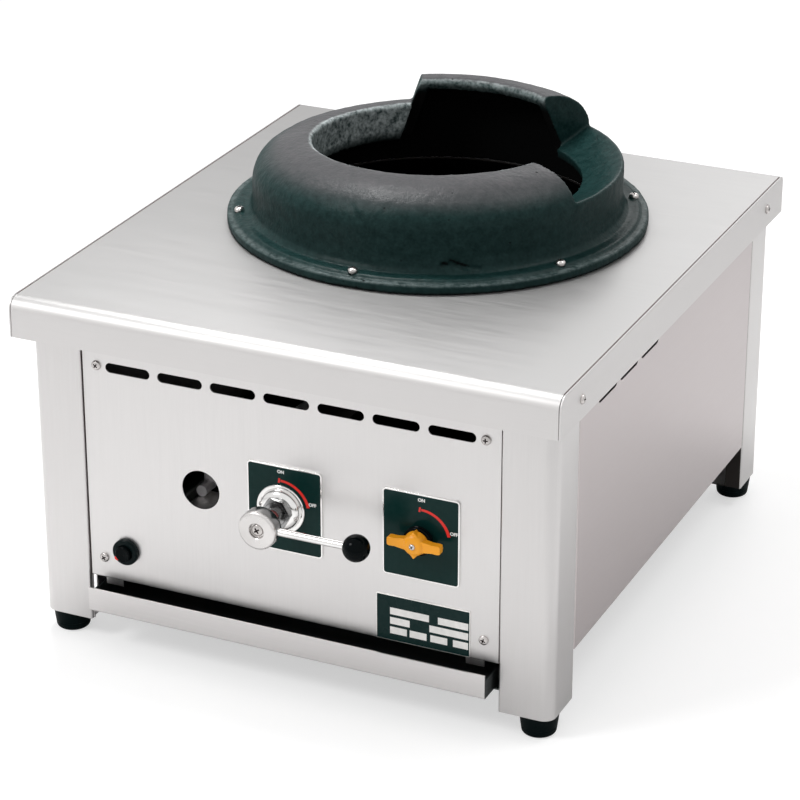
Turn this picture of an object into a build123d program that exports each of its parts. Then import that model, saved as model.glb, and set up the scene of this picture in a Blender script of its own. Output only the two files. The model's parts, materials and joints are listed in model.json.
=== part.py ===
from build123d import *
from math import cos, hypot, radians, sin, sqrt
import os

# Single-burner wok range. X is the width, Y the depth (the cook stands at -Y), Z is up.
# The feet stand on Z = 0. Millimetres throughout.

os.makedirs("parts", exist_ok=True)

# ---------------------------------------------------------------- sheet-metal body
BODY_WIDTH = 450.0
BODY_DEPTH = 500.0
TOP_HEIGHT = 290.0
SHEET = 1.2
SKIRT_HEIGHT = 32.0
FRONT_BULLNOSE = 10.0
REAR_BEND = 5.0
CORNER_SLIT = 0.6
SIDE_OVERHANG = 8.0
FRONT_OVERHANG = 16.0
REAR_OVERHANG = 6.0
POST_LEG = 43.0
POST_BEND = 10.0
SHARP_BEND = 1.5
POST_RETURN = 14.0
PANEL_RECESS = 2.0
PANEL_GAP = 1.0
PANEL_BOTTOM = 57.0
PANEL_TOP_GAP = 14.0
PANEL_RETURN = 12.0
PANEL_FLANGE = 28.0
SIDE_BOTTOM = 59.0
SIDE_RETURN = 22.0
SIDE_GAP_FRONT = 0.4
SIDE_GAP_REAR = 0.8
FOOT_HEIGHT = 18.0
FOOT_RADIUS = 15.5
FOOT_INSET = 16.0
FOOT_TAPER = 2.0
FOOT_EDGE = 3.0
FOOT_RECESS_RADIUS = 6.0
FOOT_RECESS_DEPTH = 8.0

# slots and round holes of the panels
SLOT_BRIDGE = 6.7
SLOT_MARGIN = 17.5
SLOT_HEIGHT = 8.0
FRONT_SLOTS = 7
FRONT_SLOT_DROP = 51.3
SLOT_CLEARANCE = 1.2
SIDE_SLOTS = 3
SIDE_SLOT_DROP = 40.7
SIDE_SLOT_START = 56.0
SIGHT_X = -74.0
SIGHT_RISE = 1.0
SIGHT_RADIUS = 16.0

# screws
SCREW_RADIUS = 2.0
SCREW_HEAD_RADIUS = 3.9
SCREW_HEAD_HEIGHT = 2.2
SCREW_LENGTH = 9.0
SCREW_CLEARANCE = 0.06
PANEL_SCREW_INSET = 13.0
PANEL_SCREW_DROP = 51.0
PANEL_SCREW_RISE = 18.0
SKIRT_SCREW_INSET = 41.0
SKIRT_SCREW_DROP = 16.0
SKIRT_SCREW_LENGTH = 14.0
FOOT_SCREW_RADIUS = 2.5
FOOT_SCREW_HEAD = 5.0
FOOT_SCREW_HEAD_THICK = 3.0
FOOT_SCREW_TAIL = 7.0
FOOT_NUT_HEX = 8.0
FOOT_NUT_THICK = 4.0

# ---------------------------------------------------------------- cast wok ring
RING_Y = 44.0
FLANGE_RADIUS = 170.0
FLANGE_THICK = 10.0
FLANGE_LEDGE = 6.5
FLANGE_STEP = 2.4
FLANGE_WIDTH = 21.0
FLANGE_DRAFT = 1.0
WALL_BASE_FILLET = 4.0
WALL_DRAFT = 1.2
CAST_THICK = 10.0
SPLIT_HEIGHT = 22.0
DOME_SPRING = 35.0
DOME_RISE = 32.3
DOME_WIDTH = 45.0
LIP_ROUND = 3.5
LIP_WIDTH = 9.5
LIP_DEPTH = 32.0
LIP_DRAFT = 1.5
DOME_SLOPE_X = 0.028
DOME_SLOPE_Y = -0.046
SEAT_HEIGHT = 50.0
SEAT_DROP = 15.0
SEAT_WIDTH = 33.3
SEAT_THICK = 8.5
SEAT_EDGE = 1.5
SEAT_HEEL = 13.0
HOOD_RISE = 34.0
HOOD_SPRING = 48.0
HOOD_WIDTH = 47.5
HOOD_FOOT_WIDTH = 28.0
HOOD_LIP_ROUND = 5.0
HOOD_LIP_DEPTH = 9.5
HOOD_WEB_ANGLE = 5.0
NOTCH_START = -20.0
HOOD_START = 56.5
HOOD_END = 126.5
HOOD_END_LEAN = 19.0
RING_SCREWS = 6
RING_SCREW_INSET = 10.0
RING_SCREW_LENGTH = 16.0
RING_SCREW_SHANK = 2.5
RING_SCREW_HEAD = 4.6
RING_SCREW_HEAD_HEIGHT = 3.0

# ---------------------------------------------------------------- fire pot and burner
POT_CLEARANCE = 0.8
POT_FLANGE_INSET = 4.0
POT_DEPTH = 90.0
POT_CONE = 22.0
POT_NARROWING = 45.0
POT_BEND = 3.0
BOWL_RADIUS = 60.0
BOWL_WALL = 8.0
BOWL_RISE = 64.0
BOWL_DROP = 22.0
BOWL_WAIST = 40.0
BOWL_FLARE = 2.0
BOWL_LEG_RADIUS = 14.0
CAP_RADIUS = 62.0
CAP_HEIGHT = 18.0
CAP_WALL = 6.0
CAP_SPIGOT = 4.0
CAP_FIT = 0.4
CAP_BEVEL = 14.0
CAP_PORTS = 20
CAP_PORT_WIDTH = 3.0
CAP_PORT_REACH = 4.0
TUBE_RADIUS = 20.0
TUBE_THROAT = 12.0
TUBE_BORE = 16.0
TUBE_REACH = 70.0
TUBE_OVER_TIP = 7.0
TUBE_SHOULDER = 3.0
TUBE_FLANGE_RADIUS = 28.0
TUBE_FLANGE_THICK = 8.0
SHUTTER_LENGTH = 24.0
SHUTTER_WALL = 1.5
SHUTTER_TAB = 9.0
SHUTTER_CLEARANCE = 0.08
WINDOW_LENGTH = 14.0
WINDOW_WIDTH = 22.0
STRAP_THICK = 2.0
STRAP_WIDTH = 40.0
STRAP_BEND = 1.0
STRAP_OFFSET = 3.6
STRAP_FOOT = 18.0
STRAP_DROP = 49.5

# ---------------------------------------------------------------- gas side
VALVE_X = -5.0
AXIS_DROP = 140.0
PILOT_INSET = 63.5
MANIFOLD_DEPTH = 32.0
MANIFOLD_DROP = 32.0
PIPE_RADIUS = 10.6
PIPE_WALL = 2.6
PIPE_BEND = 30.0
PIPE_TAIL = 23.0
PIPE_CAP = 4.0
SUPPLY_INSET = 44.0
SUPPLY_END_GAP = 4.0
TEE_RADIUS = 13.0
TEE_HEIGHT = 16.0
TEE_PILOT_SHIFT = 10.0
INLET_RADIUS = 10.48
INLET_HEX = 27.0
INLET_HEX_THICK = 9.0
INLET_SOCKET_RADIUS = 14.0
INLET_SOCKET_LENGTH = 25.0
INLET_BORE = 7.5
VALVE_BODY_RADIUS = 15.0
VALVE_NECK_RADIUS = 9.0
VALVE_BODY_GAP = 1.3
VALVE_BODY_LENGTH = 53.5
VALVE_BODY_TAPER = 3.0
VALVE_NECK_LENGTH = 12.0
BOSS_RADIUS = 11.0
STEM_RADIUS = 5.0
STEM_CLEARANCE = 0.06
STEM_DEPTH = 26.0
INJECTOR_HEX = 19.0
INJECTOR_HEX_THICK = 8.0
INJECTOR_RADIUS = 6.0
INJECTOR_LENGTH = 31.0
INJECTOR_TIP_CONE = 3.0
INJECTOR_ORIFICE = 1.25
ESCUTCHEON_RADIUS = 20.0
ESCUTCHEON_HEIGHT = 6.5
ESCUTCHEON_WALL = 1.4
ESCUTCHEON_STEPS = 4
NECK_NUT_HEX = 22.0
NECK_NUT_THICK = 3.5
HUB_RADIUS = 15.5
HUB_LENGTH = 25.0
HUB_NUT_GAP = 6.0
HUB_DISC_THICK = 13.0
HUB_BEVEL = 2.2
HUB_NECK_RADIUS = 8.0
HUB_NECK_LENGTH = 4.0
HUB_BORE_DEPTH = 16.0
HUB_RECESS_RADIUS = 6.0
HUB_RECESS_DEPTH = 3.0
LEVER_SCREW_HEAD = 4.8
LEVER_SCREW_SHANK = 2.0
LEVER_SCREW_LENGTH = 12.0
ROD_RADIUS = 3.0
ROD_DEPTH = 6.5
ROD_START = 8.0
BALL_REACH = 79.0
BALL_RADIUS = 10.5
ROD_DEPTH_IN_BALL = 7.0
PILOT_BODY_RADIUS = 11.0
PILOT_BODY_LENGTH = 37.5
PILOT_NECK_RADIUS = 6.5
PILOT_NECK_LENGTH = 4.0
PILOT_BOSS_RADIUS = 9.0
PILOT_OUTLET_RADIUS = 5.5
PILOT_OUTLET_LENGTH = 6.0
PILOT_STEM_RADIUS = 4.0
PILOT_STEM_COVER = 3.0
COLLAR_RADIUS = 11.5
COLLAR_LENGTH = 4.5
COLLAR_GAP = 1.0
KNOB_THICK = 8.5
KNOB_HUB_RADIUS = 10.5
KNOB_TIP = 21.5
KNOB_TIP_HALF = 2.9
KNOB_ROOT_HALF = 4.4
KNOB_FLARE = 2.0
KNOB_EDGE = 1.0
KNOB_SCREW_HEAD = 2.4
KNOB_SCREW_HEAD_HEIGHT = 1.4
KNOB_SCREW_SHANK = 1.2
KNOB_SCREW_LENGTH = 7.0

# dial and rating plates
PLATE_THICK = 1.5
PLATE_CORNER = 3.0
DIAL_WIDTH = 62.3
DIAL_HEIGHT = 71.0
MAIN_DIAL_SHIFT = 3.0
PILOT_DIAL_SHIFT = -0.3
RATING_WIDTH = 77.0
RATING_GAP = 18.0
RATING_INSET = 23.7
RATING_RISE = 0.9
RATING_THICK = 0.8
RATING_CORNER = 1.0

# pilot burner and ignition
PILOT_BURNER_RADIUS = 4.5
PILOT_BURNER_BORE = 2.8
PILOT_BURNER_SIDE = 13.0
PILOT_BURNER_DEPTH = 27.0
PILOT_BURNER_DROP = 13.7
PILOT_BURNER_BEND = 15.0
PILOT_RISER_X = -52.0
PILOT_RISER_FORWARD = 54.0
PILOT_RISER_LENGTH = 90.0
PILOT_RAMP = 24.0
PILOT_RAMP_RUN = 60.0
PILOT_PLUG = 2.0
PILOT_BLOCK_DEPTH = 44.0
PILOT_BLOCK_RADIUS = 7.0
PILOT_BLOCK_HEIGHT = 11.0
PILOT_TUBE_RADIUS = 3.0
PILOT_TUBE_BORE = 2.0
PILOT_TUBE_RISE = 30.0
PILOT_TUBE_BEND = 9.0
PILOT_TUBE_RUN = 24.0
BRACKET_SHIFT = 7.0
BRACKET_WIDTH = 22.0
BRACKET_DROP = 24.0
BRACKET_REACH = 36.0
SEAT_GAP = 0.3
CLIP_THICK = 3.0
CLIP_DROP = 40.0
CLIP_MARGIN = 2.5
ELECTRODE_SPACING = 18.0
ELECTRODE_RADIUS = 3.6
ELECTRODE_LENGTH = 42.0
ELECTRODE_WIRE = 0.9
ELECTRODE_TIP = 11.0
ELECTRODE_BEND = 3.0
ELECTRODE_OVER = 4.0
IGNITER_INSET = 33.0
IGNITER_RISE = 27.5
BEZEL_RADIUS = 10.75
BEZEL_THICK = 4.5
BEZEL_EDGE = 1.2
IGNITER_RADIUS = 8.5
IGNITER_LENGTH = 46.0
IGNITER_NUT_HEX = 23.0
IGNITER_NUT_THICK = 5.0
IGNITER_NOTCH_RADIUS = 15.0
BUTTON_DEPTH = 8.0
BUTTON_RADIUS = 6.5
BUTTON_PROUD = 3.5
BUTTON_TRAVEL = 4.0
BUTTON_CLEARANCE = 0.08

# drip tray and its runners
TRAY_GAP = 5.6
TRAY_PROUD = 15.0
TRAY_REAR_GAP = 52.0
TRAY_BOTTOM_Z = 33.5
TRAY_LIP = 9.0
TRAY_FRONT_HEIGHT = 20.0
TRAY_WALL_HEIGHT = 15.0
TRAY_SHEET = 1.2
TRAY_CORNER = 4.0
RUNNER_GAP = 3.0
RUNNER_LEDGE = 15.4
RUNNER_BEND = 1.0
RUNNER_LAP = 6.4
RUNNER_FRONT_GAP = 3.8
RUNNER_REAR_GAP = 6.0
TONGUE_DROP = 5.5
TONGUE_WIDTH = 15.0

# ---------------------------------------------------------------- derived places
HALF_WIDTH = BODY_WIDTH / 2
HALF_DEPTH = BODY_DEPTH / 2
UNDER_TOP_Z = TOP_HEIGHT - SHEET
SKIRT_Z = TOP_HEIGHT - SKIRT_HEIGHT
POST_X = HALF_WIDTH - SIDE_OVERHANG
FRONT_Y = FRONT_OVERHANG - HALF_DEPTH
REAR_Y = HALF_DEPTH - REAR_OVERHANG
STEP_X = POST_X - POST_LEG
PANEL_FRONT_Y = FRONT_Y + PANEL_RECESS
PANEL_BACK_Y = PANEL_FRONT_Y + SHEET
REAR_PANEL_Y = REAR_Y - PANEL_RECESS
PANEL_HALF = STEP_X - PANEL_GAP
PANEL_TOP = TOP_HEIGHT - PANEL_TOP_GAP
SLOT_PITCH = 2 * (STEP_X - SLOT_MARGIN) / FRONT_SLOTS
SLOT_LENGTH = SLOT_PITCH - SLOT_BRIDGE
PANEL_SCREW_X = STEP_X - PANEL_SCREW_INSET
PANEL_SCREW_HIGH = TOP_HEIGHT - PANEL_SCREW_DROP
PANEL_SCREW_LOW = PANEL_BOTTOM + PANEL_SCREW_RISE
SKIRT_SCREW_Y = HALF_DEPTH - SKIRT_SCREW_INSET
SKIRT_SCREW_Z = TOP_HEIGHT - SKIRT_SCREW_DROP
FLANGE_TOP_Z = TOP_HEIGHT + FLANGE_THICK
SPLIT_Z = TOP_HEIGHT + SPLIT_HEIGHT
WALL_RADIUS = FLANGE_RADIUS - FLANGE_WIDTH
WALL_BORE = WALL_RADIUS - CAST_THICK
DOME_CREST_RADIUS = WALL_RADIUS - DOME_WIDTH
SEAT_RADIUS = WALL_RADIUS - SEAT_WIDTH
HOOD_LIP_RADIUS = WALL_RADIUS - HOOD_WIDTH
HOOD_FOOT_RADIUS = WALL_RADIUS - HOOD_FOOT_WIDTH
RING_SCREW_RADIUS = FLANGE_RADIUS - RING_SCREW_INSET
POT_FLANGE_RADIUS = FLANGE_RADIUS - POT_FLANGE_INSET
POT_RADIUS = WALL_BORE - POT_CLEARANCE - SHEET
POT_MOUTH_RADIUS = POT_RADIUS - POT_NARROWING
POT_SHOULDER_Z = TOP_HEIGHT - POT_DEPTH
POT_MOUTH_Z = POT_SHOULDER_Z - POT_CONE

AXIS_Z = TOP_HEIGHT - AXIS_DROP
PILOT_X = STEP_X - PILOT_INSET
RATING_LOW_Z = PANEL_BOTTOM + RATING_RISE
RATING_HEIGHT = AXIS_Z - DIAL_HEIGHT / 2 - RATING_GAP - RATING_LOW_Z
SIGHT_Z = AXIS_Z + SIGHT_RISE
BOWL_TOP_Z = AXIS_Z + BOWL_RISE
BOWL_BASE_Z = AXIS_Z - BOWL_DROP
STRAP_TOP_Z = AXIS_Z - STRAP_DROP
PLATE_FRONT_Y = PANEL_FRONT_Y - PLATE_THICK
VALVE_BODY_FRONT_Y = PANEL_BACK_Y + VALVE_BODY_GAP
VALVE_BODY_REAR_Y = VALVE_BODY_FRONT_Y + VALVE_BODY_LENGTH
VALVE_NECK_FRONT_Y = PANEL_FRONT_Y - VALVE_NECK_LENGTH
MANIFOLD_Y = PANEL_FRONT_Y + MANIFOLD_DEPTH
MANIFOLD_Z = AXIS_Z - MANIFOLD_DROP
STEM_REAR_Y = PANEL_FRONT_Y + STEM_DEPTH
PIPE_LEFT_X = VALVE_X - PIPE_TAIL
SUPPLY_X = STEP_X - SUPPLY_INSET
SUPPLY_END_Y = REAR_PANEL_Y - SUPPLY_END_GAP
TEE_TOP_Z = MANIFOLD_Z + TEE_HEIGHT
TEE_PILOT_X = PILOT_X - TEE_PILOT_SHIFT
INJECTOR_TIP_Y = VALVE_BODY_REAR_Y + INJECTOR_LENGTH
TUBE_FRONT_Y = INJECTOR_TIP_Y - TUBE_OVER_TIP
TUBE_REAR_Y = RING_Y - TUBE_REACH
HUB_NECK_Y = VALVE_NECK_FRONT_Y - HUB_NUT_GAP
HUB_FRONT_Y = HUB_NECK_Y - HUB_LENGTH
HUB_BORE_END_Y = HUB_NECK_Y - HUB_BORE_DEPTH
ROD_Y = HUB_FRONT_Y + ROD_DEPTH
FRONT_REACH = BALL_RADIUS - ROD_Y
PILOT_BODY_FRONT_Y = VALVE_BODY_FRONT_Y
PILOT_BODY_REAR_Y = PILOT_BODY_FRONT_Y + PILOT_BODY_LENGTH
PILOT_NECK_FRONT_Y = PANEL_FRONT_Y - PILOT_NECK_LENGTH
PILOT_OUTLET_X = TEE_PILOT_X - PILOT_BOSS_RADIUS - PILOT_OUTLET_LENGTH
COLLAR_REAR_Y = PILOT_NECK_FRONT_Y - COLLAR_GAP
COLLAR_FRONT_Y = COLLAR_REAR_Y - COLLAR_LENGTH
KNOB_FRONT_Y = COLLAR_FRONT_Y - KNOB_THICK
PILOT_BURNER_X = SIGHT_X - PILOT_BURNER_SIDE
PILOT_BURNER_Y = PANEL_FRONT_Y + PILOT_BURNER_DEPTH
PILOT_BURNER_Z = AXIS_Z - PILOT_BURNER_DROP
PILOT_RISER_Y = RING_Y - PILOT_RISER_FORWARD
PILOT_RISER_TOP_Z = PILOT_BURNER_Z + PILOT_RISER_LENGTH
PILOT_BLOCK_Y = PANEL_FRONT_Y + PILOT_BLOCK_DEPTH
PILOT_BLOCK_TOP_Z = PILOT_BURNER_Z + PILOT_BLOCK_HEIGHT
PILOT_TUBE_Z = AXIS_Z + PILOT_TUBE_RISE
BRACKET_X = PILOT_BURNER_X + BRACKET_SHIFT
CLIP_Z = PILOT_RISER_TOP_Z - CLIP_DROP
ELECTRODE_X = PILOT_RISER_X - ELECTRODE_SPACING
IGNITER_X = IGNITER_INSET - STEP_X
IGNITER_Z = PANEL_BOTTOM + IGNITER_RISE
TRAY_HALF = STEP_X - TRAY_GAP
TRAY_FRONT_Y = PANEL_FRONT_Y - TRAY_PROUD
TRAY_REAR_Y = REAR_PANEL_Y - TRAY_REAR_GAP
WEB_X = TRAY_HALF + RUNNER_GAP
RUNNER_EDGE_X = POST_X - SIDE_RETURN + RUNNER_LAP
RUNNER_FRONT_Y = PANEL_BACK_Y + RUNNER_FRONT_GAP
RUNNER_REAR_Y = REAR_PANEL_Y - RUNNER_REAR_GAP
STRAP_HALF = WEB_X + STRAP_OFFSET


# ---------------------------------------------------------------- helpers
def polygon(points):
    """Closed flat face through the given points."""
    return make_face(Polyline(*points, close=True))


def turned_z(points):
    """Solid of revolution about the upright axis from (radius, height) points."""
    return revolve(Plane.XZ * polygon(points), axis=Axis.Z)


def turned_y(points, x, z):
    """Solid of revolution about a front-to-back axis at (x, z) from (radius, y) points."""
    return Pos(x, 0, z) * revolve(polygon(points), axis=Axis.Y)


def rod_y(radius, y_low, y_high, x, z):
    """Plain round bar along Y."""
    return turned_y([(0, y_low), (radius, y_low), (radius, y_high), (0, y_high)], x, z)


def rod_z(radius, z_low, z_high, x, y):
    """Plain round bar along Z."""
    bar = Cylinder(radius, z_high - z_low, align=(Align.CENTER, Align.CENTER, Align.MIN))
    return Pos(x, y, z_low) * bar


def hex_y(across_flats, y_low, y_high, x, z):
    """Hexagon bar along Y."""
    outline = RegularPolygon(across_flats / sqrt(3), 6)
    return Pos(x, y_high, z) * extrude(Plane.XZ * outline, y_high - y_low)


def block(low, high):
    """Box between two corners."""
    size = [h - l for l, h in zip(low, high)]
    return Pos(*low) * Box(*size, align=(Align.MIN, Align.MIN, Align.MIN))


def offset_points(points, distance):
    """Points of a polyline moved to its left by a distance, mitred at the corners."""
    normals = []
    for (x0, y0), (x1, y1) in zip(points, points[1:]):
        length = hypot(x1 - x0, y1 - y0)
        normals.append((-(y1 - y0) / length, (x1 - x0) / length))
    moved = []
    for i, (x, y) in enumerate(points):
        n0, n1 = normals[max(i - 1, 0)], normals[min(i, len(normals) - 1)]
        scale = distance / (1 + n0[0] * n1[0] + n0[1] * n1[1])
        moved.append((x + (n0[0] + n1[0]) * scale, y + (n0[1] + n1[1]) * scale))
    return moved


def folded(points, radii, thick, left=True):
    """Section of a folded sheet: one face follows the points, the other lies a thickness away.

    Each radius belongs to the traced face at that corner, so the far face gets the radius
    less the thickness on an inward fold and the radius plus the thickness on an outward one.
    """
    side = 1 if left else -1
    far_points = offset_points(points, side * thick)
    far_radii = []
    for (xa, ya), (xb, yb), (xc, yc), radius in zip(points, points[1:], points[2:], radii):
        turn = (xb - xa) * (yc - yb) - (yb - ya) * (xc - xb)
        far_radii.append(radius - thick if turn * side > 0 else radius + thick)
    near = FilletPolyline(*points, radius=radii)
    far = FilletPolyline(*far_points, radius=far_radii)
    ends = [Line(points[0], far_points[0]), Line(points[-1], far_points[-1])]
    return make_face([*near.edges(), *far.edges(), *ends])


def pan_screw(head_radius, head_height, shank_radius, length):
    """Round-headed screw along Z: the head sits on Z = 0 and the shank points down."""
    return turned_z([(0, -length), (shank_radius, -length), (shank_radius, 0), (head_radius, 0),
                     (head_radius, head_height * 0.45), (head_radius * 0.78, head_height * 0.85),
                     (head_radius * 0.4, head_height), (0, head_height)])


def half_space(angle, lean=0.0):
    """Large block on the clockwise side of an upright plane through the ring axis.

    The lean tips the plane about the level line it stands on, towards the block's side.
    """
    reach = 2 * FLANGE_RADIUS
    slab = Pos(0, -reach / 2, 0) * Box(2 * reach, reach, reach)
    base = Pos(0, 0, FLANGE_TOP_Z + SEAT_HEIGHT)
    return base * Rot(0, 0, angle) * Rot(lean, 0, 0) * slab


# ---------------------------------------------------------------- body
def panel_screw_spots():
    """The four (x, z) places of the screws that hold a front or rear panel."""
    return [(x, z) for x in (-PANEL_SCREW_X, PANEL_SCREW_X) for z in (PANEL_SCREW_LOW, PANEL_SCREW_HIGH)]


def ring_screw_spots():
    """Places of the ring's screws, in the ring's own frame."""
    step = 360 / RING_SCREWS
    angles = [radians(step * (i + 0.5)) for i in range(RING_SCREWS)]
    return [(RING_SCREW_RADIUS * cos(a), RING_SCREW_RADIUS * sin(a)) for a in angles]


def drilled_for_ring(solid, radius):
    """The solid with the ring's screw holes drilled through it."""
    for x, y in ring_screw_spots():
        solid -= rod_z(radius, UNDER_TOP_Z - 2 * SHEET, FLANGE_TOP_Z + SHEET, x, y + RING_Y)
    return solid


def skirt_drill(sign_x, sign_y):
    """Round bar through a side skirt and the post's leg, where their screw goes."""
    length = SKIRT_SCREW_LENGTH + SHEET
    bar = Cylinder(SCREW_RADIUS + SCREW_CLEARANCE, length, align=(Align.CENTER, Align.CENTER, Align.MIN))
    start = HALF_WIDTH - SKIRT_SCREW_LENGTH
    placed = Pos(start, sign_y * SKIRT_SCREW_Y, SKIRT_SCREW_Z) * Rot(0, 90, 0) * bar
    return placed if sign_x > 0 else mirror(placed, about=Plane.YZ)


def corners():
    """The four corners as (name, sign in X, sign in Y)."""
    return [("front_left", -1, -1), ("front_right", 1, -1), ("rear_left", -1, 1), ("rear_right", 1, 1)]


def top_plate():
    """Top sheet with a bullnose front, a tighter rear bend and straight side skirts."""
    outline = [(-HALF_DEPTH, SKIRT_Z), (-HALF_DEPTH, TOP_HEIGHT), (HALF_DEPTH, TOP_HEIGHT),
               (HALF_DEPTH, SKIRT_Z)]
    section = folded(outline, [FRONT_BULLNOSE, REAR_BEND], SHEET, left=False)
    plate = extrude(Plane.YZ * section, HALF_WIDTH - SHEET, both=True)
    for sign, bend in ((-1, FRONT_BULLNOSE), (1, REAR_BEND)):
        y_outer = sign * (HALF_DEPTH + 1)
        y_inner = sign * (HALF_DEPTH - bend)
        for side in (-1, 1):
            x_edges = sorted((side * (HALF_WIDTH - SHEET), side * (HALF_WIDTH - SHEET - CORNER_SLIT)))
            low = (x_edges[0], min(y_outer, y_inner), SKIRT_Z - 1)
            plate -= block(low, (x_edges[1], max(y_outer, y_inner), TOP_HEIGHT + 1))
    flap = make_face([*FilletPolyline(*outline, radius=[FRONT_BULLNOSE, REAR_BEND]).edges(),
                      Line(outline[0], outline[-1])])
    for side in (-1, 1):
        skirt = extrude(Plane.YZ * flap, SHEET / 2, both=True)
        plate += Pos(side * (HALF_WIDTH - SHEET / 2), 0, 0) * skirt
        for front_rear in (-1, 1):
            plate -= skirt_drill(side, front_rear)
    plate -= rod_z(WALL_BORE, UNDER_TOP_Z - SHEET, TOP_HEIGHT + SHEET, 0, RING_Y)
    return drilled_for_ring(plate, RING_SCREW_SHANK + SCREW_CLEARANCE)


def post(sign_x, sign_y):
    """Folded corner post: outer angle, set-back flange for the panel and a return for the side."""
    face = FRONT_Y if sign_y < 0 else REAR_Y

    def spot(x, depth):
        return (sign_x * x, face - sign_y * depth)

    flange_depth = PANEL_RECESS + SHEET
    path = [spot(STEP_X - PANEL_FLANGE, flange_depth), spot(STEP_X, flange_depth), spot(STEP_X, 0),
            spot(POST_X, 0), spot(POST_X, POST_LEG), spot(POST_X - POST_RETURN, POST_LEG)]
    radii = [SHARP_BEND - SHEET, SHARP_BEND, POST_BEND, SHARP_BEND]
    leftward = sign_x * sign_y < 0
    solid = extrude(folded(path, radii, SHEET, left=leftward), UNDER_TOP_Z - FOOT_HEIGHT)
    solid = Pos(0, 0, FOOT_HEIGHT) * solid

    inner_y, outer_y = sorted((face - sign_y * flange_depth / 2, face - sign_y * POST_LEG))
    web_x = STEP_X - SHEET / 2
    for edge, top in ((STEP_X - PANEL_FLANGE - 1, PANEL_BOTTOM - TONGUE_DROP),
                      (STEP_X - PANEL_FLANGE + TONGUE_WIDTH, PANEL_BOTTOM)):
        low_x, high_x = sorted((sign_x * edge, sign_x * web_x))
        solid -= block((low_x, inner_y, FOOT_HEIGHT - 1), (high_x, outer_y, top))
    if sign_y < 0:
        slot_z = TOP_HEIGHT - FRONT_SLOT_DROP
        slot_end = STEP_X - SLOT_MARGIN - SLOT_BRIDGE / 2 + SLOT_CLEARANCE
        low_x, high_x = sorted((sign_x * (STEP_X - PANEL_FLANGE - 1), sign_x * slot_end))
        half_notch = SLOT_HEIGHT / 2 + SLOT_CLEARANCE
        solid -= block((low_x, inner_y, slot_z - half_notch), (high_x, outer_y, slot_z + half_notch))

    plate_x = sorted((sign_x * (STEP_X + SHEET), sign_x * (POST_X - SHEET)))
    plate_y = sorted((face - sign_y * SHEET, face - sign_y * POST_LEG))
    toe = block((plate_x[0], plate_y[0], FOOT_HEIGHT), (plate_x[1], plate_y[1], FOOT_HEIGHT + SHEET))
    toe_corner = toe.edges().filter_by(Axis.Z).sort_by(
        lambda e: -(sign_x * e.center().X + sign_y * e.center().Y))[0]
    solid += fillet(toe_corner, POST_BEND - SHEET)
    solid -= foot_bolt(sign_x, sign_y, FOOT_SCREW_RADIUS + SCREW_CLEARANCE)

    y_low, y_high = sorted((face - sign_y * POST_LEG, face + sign_y))
    for x, z in panel_screw_spots():
        if x * sign_x > 0:
            solid -= rod_y(SCREW_RADIUS + SCREW_CLEARANCE, y_low, y_high, x, z)
    solid -= rod_y(IGNITER_NOTCH_RADIUS, y_low, y_high, -sign_x * IGNITER_X, IGNITER_Z)
    return solid - skirt_drill(sign_x, sign_y)


def foot_centre(sign_x, sign_y):
    """Plan position of a foot."""
    face = FRONT_Y if sign_y < 0 else REAR_Y
    return sign_x * (POST_X - FOOT_INSET), face - sign_y * FOOT_INSET


def foot_bolt(sign_x, sign_y, radius):
    """Upright bar through the foot and the post's toe plate."""
    x, y = foot_centre(sign_x, sign_y)
    return rod_z(radius, FOOT_RECESS_DEPTH, FOOT_HEIGHT + SHEET + FOOT_SCREW_TAIL, x, y)


def foot(sign_x, sign_y):
    """Rubber foot: a low tapered cup with a rounded tread and a recess for its screw."""
    x, y = foot_centre(sign_x, sign_y)
    tread = FOOT_RADIUS - FOOT_TAPER
    body = turned_z([(0, 0), (tread - FOOT_EDGE, 0), (tread - FOOT_EDGE * 0.3, FOOT_EDGE * 0.3),
                     (tread, FOOT_EDGE), (FOOT_RADIUS, FOOT_HEIGHT), (0, FOOT_HEIGHT)])
    body = Pos(x, y, 0) * body - rod_z(FOOT_RECESS_RADIUS, -1, FOOT_RECESS_DEPTH, x, y)
    return body - foot_bolt(sign_x, sign_y, FOOT_SCREW_RADIUS + SCREW_CLEARANCE)


def foot_screws():
    """Four screws up through the feet, each with its nut on the toe plate."""
    group = []
    for _, sign_x, sign_y in corners():
        x, y = foot_centre(sign_x, sign_y)
        head = rod_z(FOOT_SCREW_HEAD, FOOT_RECESS_DEPTH - FOOT_SCREW_HEAD_THICK, FOOT_RECESS_DEPTH, x, y)
        hexagon = RegularPolygon(FOOT_NUT_HEX / sqrt(3), 6)
        nut = Pos(x, y, FOOT_HEIGHT + SHEET) * extrude(hexagon, FOOT_NUT_THICK)
        group.append(head + foot_bolt(sign_x, sign_y, FOOT_SCREW_RADIUS) + nut)
    return Compound(children=group)


def side_panel(sign_x):
    """Side sheet flush with the posts, folded in at its upright edges and at the bottom."""
    front = FRONT_Y + POST_LEG + SIDE_GAP_FRONT
    rear = REAR_Y - POST_LEG - SIDE_GAP_REAR
    path = [(POST_X - POST_RETURN, front), (POST_X, front), (POST_X, rear), (POST_X - POST_RETURN, rear)]
    panel = extrude(folded(path, [SHARP_BEND, SHARP_BEND], SHEET), UNDER_TOP_Z - SIDE_BOTTOM)
    panel = Pos(0, 0, SIDE_BOTTOM) * panel
    panel += block((POST_X - SIDE_RETURN, front, SIDE_BOTTOM),
                   (POST_X - SHEET / 2, rear, SIDE_BOTTOM + SHEET))
    for i in range(SIDE_SLOTS):
        y = front + SIDE_SLOT_START + i * SLOT_PITCH
        slot = extrude(Plane.YZ * SlotOverall(SLOT_LENGTH, SLOT_HEIGHT), 3 * SHEET, both=True)
        panel -= Pos(POST_X, y, TOP_HEIGHT - SIDE_SLOT_DROP) * slot
    return panel if sign_x > 0 else mirror(panel, about=Plane.YZ)


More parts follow.
